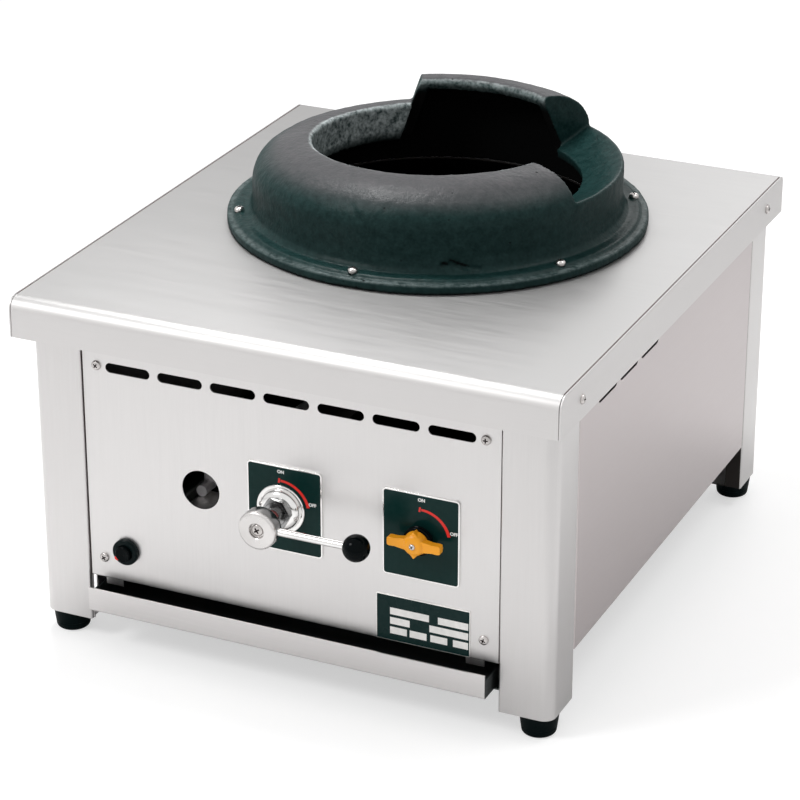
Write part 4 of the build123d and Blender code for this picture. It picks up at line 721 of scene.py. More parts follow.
@dataclass(frozen=True)
class CastSkin(Finish):
    """Blacked cast iron: green-black, with a painted highlight on its crown, and where masks on the mesh say
    so a painted highlight on its lips and soot with painted shade inside.
    """

    tint: Colour = (0.0018, 0.0125, 0.0120)
    dusty: Colour = (0.0085, 0.0260, 0.0250)
    # colour of the painted highlight on the crown
    crown_highlight: Colour = (0.058, 0.055, 0.058)
    # colour of the painted highlight on the lips and the ledge
    lit: Colour = (0.27, 0.30, 0.30)
    edged: Colour = (0.045, 0.068, 0.068)
    pitted: Colour = (0.001, 0.002, 0.002)
    # colour of the soot with painted shade inside the ring
    shaded_soot: Colour = (0.0008, 0.0009, 0.0009)
    rough: float = 0.38
    relief: float = 0.9
    gloss: float = 0.10
    rim_gloss: float = 0.02
    top_low: float = 0.338
    top_high: float = 0.352

    def paint(self, shader: Shader) -> None:
        """Builds mottled colour, a painted highlight on the crown, worn edges, a painted highlight on the
        lips and the ledge, pits, soot with painted shade, and the grit of the sand.

        Args:
            shader: The material under construction.
        """
        skin = shader.effect(Effect.CASTING)
        height = skin.outputs["Height"]
        # soot and painted shade inside the ring, read from a mask on the mesh
        soot_and_shade = shader.mask(SOOT_AND_SHADE)
        # painted highlight: up-facing faces near the crown's height are lightened
        above = shader.spread(shader.height_of(shader.place), 0.0, 1.0, self.top_low, self.top_high)
        crown = shader.math("MULTIPLY", above, shader.upward(0.45, 0.95))
        crown = shader.math("MULTIPLY", crown, shader.spread(height, 0.65, 1.0))
        # painted highlight on the lips and the ledge, read from a mask on the mesh
        painted_highlight = shader.math("MULTIPLY", shader.mask(HIGHLIGHT_MASK), shader.spread(height, 0.1, 1.0, 0.38, 0.62))
        base = shader.blend(shader.spread(height, 0.0, 1.0, 0.35, 0.65), self.tint, self.dusty)
        for mask, colour in ((crown, self.crown_highlight), (shader.effect(Effect.WEAR).outputs["Edge"], self.edged),
                             (painted_highlight, self.lit), (skin.outputs["Pits"], self.pitted), (soot_and_shade, self.shaded_soot)):
            base = shader.blend(mask, base, colour)
        shine = shader.spread(skin.outputs["Mottle"], self.rough - 0.04, self.rough + 0.08)
        rough = shader.made("ShaderNodeMix", "Result", {"Factor": soot_and_shade, 2: shine, 3: 1.0})
        facing = shader.node("ShaderNodeLayerWeight").outputs["Facing"]
        shader.set(Base_Color=base, Roughness=rough, Metallic=0.0,
                   Specular_IOR_Level=shader.spread(facing, self.gloss, self.rim_gloss, 0.45, 0.90))
        shader.bump(height, 0.7, self.relief)


@dataclass(frozen=True)
class Polished(Finish):
    """Plated or machined bright metal."""

    tint: Colour = (0.82, 0.81, 0.80)
    shade: Colour = (0.72, 0.71, 0.70)
    rough: float = 0.10
    relief: float = 0.004

    def paint(self, shader: Shader) -> None:
        """Builds a faint smudge in colour and roughness.

        Args:
            shader: The material under construction.
        """
        smudge = shader.effect(Effect.WEAR).outputs["Smudge"]
        shader.set(Base_Color=shader.blend(smudge, self.tint, self.shade), Metallic=1.0,
                   Roughness=shader.spread(smudge, self.rough, self.rough + 0.09, 0.0, 1.0))
        shader.bump(shader.effect(Effect.SATIN).outputs["Height"], 0.25, self.relief)


@dataclass(frozen=True)
class Moulded(Finish):
    """Moulded plastic, rubber, enamel or ceramic: a coloured body under its own gloss."""

    tint: Colour = (0.02, 0.02, 0.02)
    worn: Colour = (0.05, 0.05, 0.05)
    rough: float = 0.30
    relief: float = 0.03
    coat: float = 0.0
    gloss: float = 0.4
    deeper: float = 0.86
    coat_rough: float = 0.06

    def paint(self, shader: Shader) -> None:
        """Builds a soft change of colour, worn edges and a fine skin.

        Args:
            shader: The material under construction.
        """
        skin = shader.effect(Effect.CASTING)
        wear = shader.effect(Effect.WEAR)
        soft = tuple(c * self.deeper for c in self.tint)
        base = shader.blend(shader.spread(wear.outputs["Edge"], 0.0, 0.7, 0.0, 1.0), self.tint, self.worn)
        shader.set(Base_Color=shader.blend(shader.spread(skin.outputs["Mottle"], 0.0, 0.6), base, soft),
                   Roughness=shader.spread(wear.outputs["Smudge"], self.rough, self.rough + 0.08, 0.0, 1.0),
                   Metallic=0.0, Specular_IOR_Level=self.gloss, Coat_Weight=self.coat,
                   Coat_Roughness=self.coat_rough)
        shader.bump(skin.outputs["Height"], 0.25, self.relief)


# the flat top is painted darker and the upright skirts lighter: painted light and shade
SHEET_TOP = SatinSheet("satin_top", "stainless", (0.365, 0.360, 0.358), rough=0.48,
                       upright=(0.645, 0.63, 0.625))
SHEET_FRONT = SatinSheet("satin_front", "stainless", (0.66, 0.645, 0.64), grain=Grain.UPRIGHT)
SHEET_POST = SatinSheet("satin_post", "stainless", (0.62, 0.605, 0.60), rough=0.33, grain=Grain.UPRIGHT)
# the side panels are tinted darker than the front: painted shade
SHEET_SIDE_SHADED = SatinSheet("satin_side_shaded", "stainless", (0.53, 0.485, 0.485), grain=Grain.DEPTH)
SHEET_TRAY = SatinSheet("satin_tray", "stainless", (0.68, 0.66, 0.655))
SHEET_PLAIN = SatinSheet("satin_plain", "stainless", (0.56, 0.55, 0.545), rough=0.42)
# dark stainless: painted shade under the body
SHEET_SHADOWED = SatinSheet("satin_shadowed", "stainless", (0.10, 0.11, 0.11), rough=0.5)
# near-black stainless: painted shade inside the body
SHEET_SHADE_INSIDE = SatinSheet("satin_shade_inside", "stainless", (0.045, 0.040, 0.038), rough=0.55)
IRON = CastSkin("cast_black", "cast_iron")
# black iron, darker than the ring's and without its crown highlight: painted shade in the fire pot
IRON_BURNER_SHADE = CastSkin("cast_burner_shade", "cast_iron", (0.003, 0.003, 0.003), dusty=(0.008, 0.008, 0.008),
                       crown_highlight=(0.012, 0.012, 0.012), edged=(0.02, 0.02, 0.02), rough=0.7, gloss=0.05)
CHROME = Polished("chrome", "chrome")
CHROME_SATIN = Polished("chrome_satin", "chrome", (0.66, 0.64, 0.63), (0.58, 0.565, 0.555), rough=0.24)
# chrome darkened to stand in for the dark things it reflects: a painted reflection
CHROME_DARK_REFLECTION = Polished("chrome_dark_reflection", "chrome", (0.34, 0.34, 0.34), (0.22, 0.22, 0.22), rough=0.14)
PLATED = Polished("plated", "zinc_steel", (0.60, 0.57, 0.555), (0.42, 0.40, 0.39), rough=0.18)
BRASS = Polished("brass", "brass", (0.70, 0.52, 0.25), (0.55, 0.40, 0.18), rough=0.26, relief=0.01)
PIPE = Moulded("pipe", "pipe", (0.05, 0.051, 0.051), (0.12, 0.12, 0.12), rough=0.5, relief=0.10)
BLACK_GLOSS = Moulded("black_gloss", "black_gloss", (0.0008, 0.0022, 0.0026), (0.010, 0.014, 0.014),
                      rough=0.09, relief=0.003, gloss=0.05)
BLACK_SATIN = Moulded("black_satin", "black_gloss", (0.0020, 0.0065, 0.0068), (0.020, 0.026, 0.026),
                      rough=0.26, relief=0.01, gloss=0.07)
DIAL = Moulded("dial_black", "dial_black", (0.0030, 0.0215, 0.0195), (0.006, 0.026, 0.024), rough=0.16,
               relief=0.002, gloss=0.10)
PRINT_WHITE = Moulded("print_white", "dial_black", (0.82, 0.82, 0.80), (0.7, 0.7, 0.7), rough=0.35,
                      relief=0.01)
PRINT_RED = Moulded("print_red", "dial_black", (0.76, 0.030, 0.022), (0.6, 0.05, 0.04), rough=0.30,
                    relief=0.01, gloss=0.2)
YELLOW = Moulded("knob_yellow", "knob_yellow", (0.90, 0.36, 0.012), (0.95, 0.56, 0.12), rough=0.28,
                 relief=0.006, gloss=0.35)
RUBBER = Moulded("rubber", "rubber", (0.0008, 0.0038, 0.0042), (0.012, 0.018, 0.018), rough=0.40,
                 relief=0.05, gloss=0.04)
# dark cross in the screws' recesses: painted shade
RECESS_SHADE = Moulded("grime", "rubber", (0.020, 0.011, 0.010), (0.04, 0.03, 0.03), rough=0.7, relief=0.01,
                gloss=0.1)
# dark brown beads in the joints' gaps: painted shade
GAP_SHADE = Moulded("gap_shade", "rubber", (0.050, 0.022, 0.019), (0.08, 0.04, 0.035), rough=0.6, relief=0.02,
                 gloss=0.1)
CERAMIC = Moulded("ceramic", "ceramic", (0.80, 0.77, 0.70), (0.66, 0.62, 0.55), rough=0.22, relief=0.01,
                  coat=0.4)
PAINT_GREY = Moulded("paint_grey", "zinc_steel", (0.88, 0.84, 0.86), (0.8, 0.8, 0.8), rough=0.5,
                     relief=0.02)
LABEL = SatinSheet("label_plate", "label", (0.82, 0.81, 0.79), rough=0.30)
LABEL_DARK = Moulded("label_dark", "label", (0.0035, 0.0190, 0.0180), (0.010, 0.026, 0.025), rough=0.25,
                     relief=0.003, gloss=0.10)
LABEL_FIELD = Moulded("label_field", "label", (0.84, 0.82, 0.80), (0.7, 0.7, 0.68), rough=0.35,
                      relief=0.004)
# the fire pot's near black is painted shade
POT_SHADE = Moulded("pot_painted_shade", "stainless", (0.0006, 0.0006, 0.0006), (0.001, 0.001, 0.001), rough=0.9,
              relief=0.05, gloss=0.0)


def finish_piece(obj: Obj, finish: Finish, body: str, *stands_for: str) -> Obj:
    """Dresses a new piece and lets it ride on a body.

    Args:
        obj: The piece.
        finish: Its finish.
        body: The body that it rides on.
        stands_for: The CAD nodes that it stands for.

    Returns:
        The piece.
    """
    obj.data.materials.clear()
    obj.data.materials.append(finish.material())
    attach(obj, body)
    if stands_for:
        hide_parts(*stands_for)
    LOG.info("%s: %s, %d faces, rides on %s", obj.name, finish.name, len(obj.data.polygons), body)
    return obj


def second_finish(obj: Obj, finish: Finish, belongs: Callable[[Vector, Vector], bool]) -> None:
    """Gives some of a piece's faces another finish.

    Args:
        obj: The piece.
        finish: The other finish.
        belongs: Tells from a face's centre, in millimetres, and its normal whether the face gets it.
    """
    obj.data.materials.append(finish.material())
    for polygon in obj.data.polygons:
        if belongs(polygon.center / MM, polygon.normal):
            polygon.material_index = len(obj.data.materials) - 1


def dress_nodes(finish: Finish, *nodes: str) -> None:
    """Gives CAD nodes that stay as they are a finish.

    Args:
        finish: The finish.
        nodes: The nodes' names.
    """
    for node in nodes:
        obj = frame["nodes"][node]
        obj.data.materials.clear()
        obj.data.materials.append(finish.material())
        LOG.info("%s: CAD node, %s", node, finish.name)


# ------------------------------------------------------------------ pieces made from the CAD
def rides_on(node: str) -> str:
    """Returns the moving body that a CAD node belongs to."""
    bodies = frame["record"]["behaviour"]["bodies"]
    return next(body for body, nodes in bodies.items() if node in nodes)


def copied(node: str) -> Obj:
    """Copies a CAD node's mesh, with its doubled vertices joined and its flat faces merged.

    Args:
        node: The CAD node.

    Returns:
        The new object; the node itself stays as it is.
    """
    mesh = frame["nodes"][node].data.copy()
    mesh.name = node + "_skin"
    if "custom_normal" in mesh.attributes:
        mesh.attributes.remove(mesh.attributes["custom_normal"])
    bm = bmesh.new()
    bm.from_mesh(mesh)
    bmesh.ops.remove_doubles(bm, verts=bm.verts, dist=CAD_WELD * MM)
    bmesh.ops.dissolve_limit(bm, angle_limit=math.radians(CAD_FLAT_DEG), verts=bm.verts, edges=bm.edges)
    bm.to_mesh(mesh)
    bm.free()
    tidy_mesh(mesh, SHARP_DEG)
    return linked(node + "_skin", mesh)


def refined(node: str, finish: Finish, edge: float = 0.35) -> Obj:
    """Makes a finer copy of a CAD node with its sharp edges broken.

    Args:
        node: The CAD node that the copy stands for.
        finish: Its finish.
        edge: The width of the broken edge in millimetres.

    Returns:
        The dressed copy.
    """
    return finish_piece(soften(copied(node), edge), finish, rides_on(node), node)


@dataclass(frozen=True)
class Dent:
    """A smooth groove from one point to another; a round pit when both are the same. In millimetres."""

    start: Point3
    end: Point3
    radius: float
    depth: float

    def depth_at(self, spot: Vector) -> float:
        """Measures the groove at a point.

        Args:
            spot: The point in millimetres.

        Returns:
            How deep the groove is there.
        """
        start, run = Vector(self.start), Vector(self.end) - Vector(self.start)
        along = clamp((spot - start).dot(run) / max(run.length_squared, 1e-6))
        near = (spot - start - run * along).length / self.radius
        return self.depth * (1 - near * near) ** 2 if near < 1 else 0.0


def bead(u: float, v: float, radius: float) -> list[Point2]:
    """Round section of a thin dark bead of painted shade in a gap."""
    return arc(u, v, radius, 0, 324, 9)


def noise_sum(spot: Vector, lumps: Sequence[tuple[float, float]]) -> float:
    """Sums soft noise at a point over pairs of (size of a lump, height)."""
    return sum(height * noise.noise(spot / size) for size, height in lumps)


def lumpy(obj: Obj, amounts: Sequence[tuple[float, float]], dents: Sequence[Dent],
          ragged: Callable[[Vector], float]) -> None:
    """Moves vertices along their normals by soft noise, dents and a rough break-out.

    Args:
        obj: The object, fine enough to show it.
        amounts: Pairs of (size of a lump, height), in millimetres.
        dents: The grooves and pits.
        ragged: How rough a place is, as the height in millimetres of its break-out.
    """
    normals = [v.normal.copy() for v in obj.data.vertices]
    for vertex, normal in zip(obj.data.vertices, normals):
        spot = vertex.co / MM
        move = noise_sum(spot, amounts) - sum(dent.depth_at(spot) for dent in dents)
        rough = ragged(spot)
        if rough > 0:
            move += rough * noise_sum(spot, BROKEN)
        vertex.co += normal * move * MM
    obj.data.update()


# ------------------------------------------------------------------ screws
@dataclass(frozen=True)
class CrossHead:
    """A pan head with a cross recess on a plain shank, made once and placed many times."""

    radius: float
    height: float
    shank: float
    length: float
    recess: float = 0.5
    slot: float = 0.14
    sharp_deg: float = 40.0
    # heights and size of the painted shade in the recess
    recess_shade_low: float = 0.33
    recess_shade_high: float = 0.62
    recess_shade_share: float = 0.93
    first_turn: float = 0.6
    next_turn: float = 1.9

    def cross(self, low: float, high: float, share: float = 1.0) -> MeshMaker:
        """Makes the two bars of the cross.

        Args:
            low, high: The heights that they run between.
            share: Their size, as a share of the recess.

        Returns:
            The bars.
        """
        reach, half = self.radius * self.recess * share, self.radius * self.slot * share
        bars = MeshMaker().prism(rectangle(-reach, -half, reach, half), Axis.Z, low, high)
        return bars.prism(rectangle(-half, -reach, half, reach), Axis.Z, low, high)

    def shape(self) -> MeshMaker:
        """Makes the screw with its head on the plane Z = 0, pointing up.

        Returns:
            Its shape, with the recess cut.
        """
        r, h = self.radius, self.height
        dome = arc(r * 0.35, h * 0.30, r * 0.65, 0, 90, 7, ry=h * 0.70)
        profile = [(0.0, -self.length), (self.shank, -self.length), (self.shank, 0.0), (r, 0.0)]
        blank = MeshMaker().turned(profile + dome + [(0.0, h)], Axis.Z, (0.0, 0.0), 28)
        obj = carve(blank.build("screw_blank", self.sharp_deg), self.cross(h * 0.35, h + 1), self.sharp_deg)
        made = MeshMaker().add([tuple(v.co / MM) for v in obj.data.vertices],
                               [tuple(p.vertices) for p in obj.data.polygons])
        bpy.data.meshes.remove(obj.data)
        return made

    def place(self, name: str, spots: Sequence[tuple[Point3, Point3]], body: str, *stands_for: str) -> None:
        """Places one screw at each (point, direction), with a dark cross of painted shade in its recess.

        Args:
            name: The name of the group of screws.
            spots: Where each head sits and where it looks.
            body: The body that they ride on.
            stands_for: The CAD nodes that they stand for.
        """
        h = self.height
        # the dark cross is painted shade in the recess
        grime = self.cross(h * self.recess_shade_low, h * self.recess_shade_high, self.recess_shade_share)
        for one, suffix, finish, nodes in ((self.shape(), "_cross", PLATED, stands_for),
                                           (grime, "_recess_shade", RECESS_SHADE, ())):
            many = MeshMaker()
            for number, (point, direction) in enumerate(spots):
                turn = Vector(direction).to_track_quat("Z", "Y").to_matrix()
                turn = turn @ Matrix.Rotation(self.first_turn + self.next_turn * number, 3, "Z")
                many.add([tuple(turn @ Vector(v) + Vector(point)) for v in one.verts], one.faces)
            finish_piece(many.build(name + suffix, self.sharp_deg), finish, body, *nodes)


# ------------------------------------------------------------------ sub-assemblies
@dataclass(frozen=True)
class Body:
    """The folded stainless body: top sheet, posts, panels, feet and their screws."""

    half_width: float = 225.0
    step_x: float = 174.0
    panel_y: float = -232.0
    rear_y: float = 242.0
    screw_x: float = 161.0
    screw_low: float = 75.0
    screw_high: float = 239.0
    skirt_screw_y: float = 209.0
    skirt_screw_z: float = 274.0
    sheet: float = 1.2
    seam_y: Point2 = (-240.0, 245.0)
    bead_radius: float = 0.4
    panel_z: Point2 = (57.0, 276.0)
    side_z: Point2 = (59.0, 258.0)
    top_z: float = 290.0
    post_x: float = 217.0
    rear_joint_y: float = 200.2
    ring_y: float = 44.0
    hole_radius: float = 150.0
    inset: float = 0.3
    top_inset: float = 0.5
    facing: float = 0.5
    level: float = 0.95

    def build(self) -> None:
        """Makes finer copies of the sheets, and the feet."""
        sheets = [self.top(), refined("front_panel", SHEET_FRONT, edge=0.25),
                  refined("rear_panel", SHEET_PLAIN, edge=0.25)]
        for side in ("left", "right"):
            sheets.append(refined("side_panel_" + side, SHEET_SIDE_SHADED, edge=0.25))
            for end in ("front", "rear"):
                sheets.append(refined(f"post_{end}_{side}", SHEET_POST, edge=0.3))
                self.foot(end, side)
        for sheet in sheets:
            # faces inside the body and round the hole get painted shade
            second_finish(sheet, SHEET_SHADE_INSIDE, self.in_painted_shade)

    def in_painted_shade(self, centre: Vector, normal: Vector) -> bool:
        """Tells whether a face gets painted shade: the inside of the body and of the hole under the ring.

        Args:
            centre: The face's centre in millimetres.
            normal: Its normal.

        Returns:
            True for the inside.
        """
        inward = -(normal.x * centre.x / self.half_width + normal.y * centre.y / self.rear_y)
        outer = max(abs(centre.x) / (self.post_x - self.inset), abs(centre.y) / (-self.panel_y - self.inset),
                    centre.z / (self.top_z - self.top_inset))
        hole = math.hypot(centre.x, centre.y - self.ring_y) < self.hole_radius and abs(normal.z) < self.level
        turned = inward > self.facing or normal.z < -self.facing
        return hole or outer < 1 and turned and centre.z > self.panel_z[0]

    def dress(self) -> None:
        """Adds the screws and dark beads of painted shade in the joints."""
        head = CrossHead(radius=3.9, height=2.2, shank=2.0, length=9.0)
        for node, y, look in (("front_panel_screws", self.panel_y, -1.0),
                              ("rear_panel_screws", self.rear_y, 1.0)):
            spots = [((x, y, z), (0.0, look, 0.0)) for x in (-self.screw_x, self.screw_x)
                     for z in (self.screw_low, self.screw_high)]
            head.place(node, spots, "base", node)
        spots = [((sx * self.half_width, sy * self.skirt_screw_y, self.skirt_screw_z), (float(sx), 0.0, 0.0))
                 for sx in (-1, 1) for sy in (-1, 1)]
        head = CrossHead(radius=3.9, height=2.2, shank=2.0, length=14.0)
        head.place("skirt_screws", spots, "base", "skirt_screws")
        dress_nodes(PLATED, "foot_screws")
        beads = MeshMaker()
        for side in (-1, 1):
            for x, y, run in ((self.step_x - 0.55, self.panel_y + 0.95, self.panel_z),
                              (self.post_x - 0.75, self.rear_joint_y + 0.4, self.side_z)):
                beads.prism(bead(side * x, y, self.bead_radius), Axis.Z, *run)
        finish_piece(beads.build("joint_gap_shade"), GAP_SHADE, "base")

    def top(self) -> Obj:
        """Makes the top sheet, with a groove along the joint of each side skirt and a dark bead of painted
        shade in it.

        Returns:
            The sheet.
        """
        grooves, beads = MeshMaker(), MeshMaker()
        for side in (-1, 1):
            x, z = side * (self.half_width - self.sheet - 0.5), self.top_z
            grooves.prism(rectangle(x - 0.5, z - 0.8, x + 0.5, z + 1), Axis.Y, *self.seam_y)
            beads.prism(bead(x, z - 0.55, 0.45), Axis.Y, *self.seam_y)
        plate = soften(carve(copied("top_plate"), grooves), 0.35)
        finish_piece(beads.build("skirt_gap_shade"), GAP_SHADE, "base")
        return finish_piece(plate, SHEET_TOP, "base", "top_plate")

    def foot(self, end: str, side: str) -> None:
        """Makes one rubber foot with a rounded tread and two mould lines.

        Args:
            end: The end of the body that it stands at, front or rear.
            side: The side, left or right.
        """
        node = f"foot_{end}_{side}"
        low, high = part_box(node)
        centre = ((low.x + high.x) / 2 / MM, (low.y + high.y) / 2 / MM)
        r = (high.x - low.x) / 2 / MM
        profile = [(6.0, 8.0), (6.0, 0.6), (6.6, 0.0), (r - 5.0, 0.0)] + arc(r - 5.0, 3.0, 3.0, -90, -4, 6)
        profile += [(r - 1.7, 5.2), (r - 1.9, 5.6), (r - 1.9, 6.1), (r - 1.5, 6.5), (r - 0.5, 14.4),
                    (r - 0.1, 16.8), (r - 0.6, 17.7), (2.6, 17.9), (2.6, 8.0)]
        foot = MeshMaker().turned(profile, Axis.Z, centre, 56).build(node + "_moulded")
        finish_piece(foot, RUBBER, "base", node)


@dataclass(frozen=True)
class WokRing:
    """The cast ring: its skin is remeshed, softened and roughened like a sand casting.

    The lips list the sectors from the notch round, as (start, end, height of the lip's lower edge), with
    the angles in degrees.
    """

    centre_y: float = 44.0
    voxel: float = 1.3
    soft_passes: int = 2
    screw_circle: float = 160.0
    flange_top: float = 300.0
    lip_radius: float = 104.0
    ledge_radius: float = 167.0
    ledge_width: float = 4.0
    # share of the painted highlight on the flange's ledge
    ledge_highlight: float = 0.3
    hood_end: float = 126.5
    end_turn: float = 6.0
    end_core: float = 5.0
    end_blend: float = 18.0
    end_reach: float = 50.0
    hood_lip: float = 350.0
    # share of the painted highlight on the hood's lip
    hood_highlight: float = 0.45
    lips: tuple[tuple[float, float, float], ...] = (
        (-20.0, 56.5, 320.0), (56.5, 126.5, 363.0), (126.5, 340.0, 325.0))
    fade: float = 5.0
    rough_drop: float = 2.0
    rough_reach: float = 6.0
    lumps: tuple[tuple[float, float], ...] = ((34.0, 0.5), (9.0, 0.2), (3.4, 0.08))
    dents: tuple[Dent, ...] = (
        Dent((-112.0, 24.0, 350.0), (-103.0, 30.0, 351.0), 3.2, 3.0),
        Dent((64.0, -90.6, 306.5), (89.0, -75.5, 302.0), 3.2, 2.2),
        Dent((69.0, -88.0, 309.0), (80.0, -82.0, 304.0), 2.8, 1.6),
        Dent((67.0, -47.0, 350.0), (77.0, -40.0, 348.0), 2.0, 1.1),
        Dent((-8.0, -98.0, 345.0), (0.0, -104.0, 337.0), 4.5, 0.8),
        Dent((-7.0, -104.0, 314.0), (-5.0, -104.0, 310.0), 1.8, 0.8),
        Dent((53.0, -99.0, 336.0), (60.0, -96.0, 336.0), 2.0, 0.7),
    )

    def build(self) -> None:
        """Makes the casting."""
        ring = recast(copied("wok_ring"), self.voxel, self.soft_passes)
        self.turn_end(ring)
        lumpy(ring, self.lumps, self.dents, self.raggedness)
        self.blacken(ring)
        finish_piece(ring, IRON, "base", "wok_ring")

    def turn_end(self, ring: Obj) -> None:
        """Turns the hood's left end inwards, more the farther out; the round inside stays as it is.

        Args:
            ring: The ring.
        """
        for vertex in ring.data.vertices:
            x, y = vertex.co.x / MM, vertex.co.y / MM - self.centre_y
            turn, radius = math.degrees(math.atan2(y, x)), math.hypot(x, y)
            near = clamp(1.0 - max(0.0, abs(turn - self.hood_end) - self.end_core) / self.end_blend)
            out = clamp((radius - self.lip_radius + 6.0) / self.end_reach)
            new = math.radians(turn - self.end_turn * near * near * (3 - 2 * near) * out)
            vertex.co.x = radius * math.cos(new) * MM
            vertex.co.y = (radius * math.sin(new) + self.centre_y) * MM
        ring.data.update()

    def lip_height(self, spot: Vector) -> float:
        """Looks up the lip in the sector of a point.

        Args:
            spot: The point in millimetres.

        Returns:
            The height of the lip's lower edge.
        """
        turn = math.degrees(math.atan2(spot.y - self.centre_y, spot.x))
        turn = turn + 360 if turn < self.lips[0][0] else turn
        return next((height for start, end, height in self.lips if start <= turn < end), self.lips[-1][2])

    def raggedness(self, spot: Vector) -> float:
        """Tells how rough the casting is: the lower edges of its lips are left as they broke out.

        Args:
            spot: A point in millimetres.

        Returns:
            The height of the roughness there, in millimetres.
        """
        radius = math.hypot(spot.x, spot.y - self.centre_y)
        if radius > self.lip_radius:
            return 0.0
        return clamp(1.0 - abs(spot.z - self.lip_height(spot) + self.rough_drop) / self.rough_reach)

    def blacken(self, ring: Obj) -> None:
        """Marks the soot with painted shade (inside, below the lips) and the painted highlight (the lips,
        the flange's ledge).

        Args:
            ring: The ring, whose mesh gets the two masks.
        """
        soot_and_shade = ring.data.attributes.new(SOOT_AND_SHADE, "FLOAT", "POINT").data
        painted_highlight = ring.data.attributes.new(HIGHLIGHT_MASK, "FLOAT", "POINT").data
        for vertex in ring.data.vertices:
            spot, normal = vertex.co / MM, vertex.normal
            out = Vector((spot.x, spot.y - self.centre_y, 0.0))
            edge = self.lip_height(spot)
            inward = clamp((max(-normal.dot(out.normalized()), -normal.z) - 0.1) * 4)
            below = clamp((edge + self.fade - spot.z) / (2 * self.fade))
            soot_and_shade[vertex.index].value = below * inward
            lip = inward * (1 - below) if out.length < self.lip_radius else 0.0
            lip *= self.hood_highlight if edge > self.hood_lip else 1.0
            ledge = clamp(1 - abs(out.length - self.ledge_radius) / self.ledge_width)
            flat = self.flange_top - 4 < spot.z < self.flange_top + 2
            painted_highlight[vertex.index].value = max(lip, self.ledge_highlight * ledge if flat else 0.0)

    def dress(self) -> None:
        """Adds the six screws on the flange."""
        spots = [((x, y, self.flange_top), (0.0, 0.0, 1.0))
                 for x, y in arc(0.0, self.centre_y, self.screw_circle, 30, 330, 5)]
        head = CrossHead(radius=4.0, height=3.5, shank=2.5, length=16.0)
        head.place("ring_screws", spots, "base", "ring_screws")


@dataclass(frozen=True)
class Burner:
    """The fire pot, burner, mixing tube, air shutter and strap."""

    def build(self) -> None:
        """Makes finer copies of the castings and the pot."""
        refined("burner_cap", IRON_BURNER_SHADE, edge=0.6)
        refined("burner_bowl", IRON_BURNER_SHADE, edge=0.8)
        refined("mixing_tube", IRON_BURNER_SHADE, edge=0.6)
        # the pot inside the ring takes painted shade
        refined("fire_pot", POT_SHADE, edge=0.2)

    def dress(self) -> None:
        """Dresses the shutter and the strap."""
        refined("air_shutter", PLATED, edge=0.2)
        # the strap inside the body gets painted shade
        refined("burner_bracket", SHEET_SHADE_INSIDE, edge=0.3)


@dataclass(frozen=True)
class GasLine:
    """The supply pipe, inlet, pilot line and ignition behind the panel."""

    panel_y: float = -232.0

    def build(self) -> None:
        """Makes finer copies of the pieces that show at the rear or through the sight hole."""
        refined("gas_inlet", BRASS, edge=0.35)
        refined("pilot_bracket", LABEL, edge=0.2)
        body = refined("main_valve_body", BRASS, edge=0.3)
        # the neck in front of the panel gets the painted dark reflection
        second_finish(body, CHROME_DARK_REFLECTION, lambda centre, normal: centre.y < self.panel_y)
        refined("pilot_valve_body", BRASS, edge=0.3)
        refined("injector", BRASS, edge=0.25)

    def dress(self) -> None:
        """Dresses the pipes and the electrode."""
        dress_nodes(PIPE, "gas_manifold")
        dress_nodes(PAINT_GREY, "pilot_burner")
        dress_nodes(PLATED, "pilot_tube", "electrode_clip", "igniter_nut")
        dress_nodes(CERAMIC, "electrode")


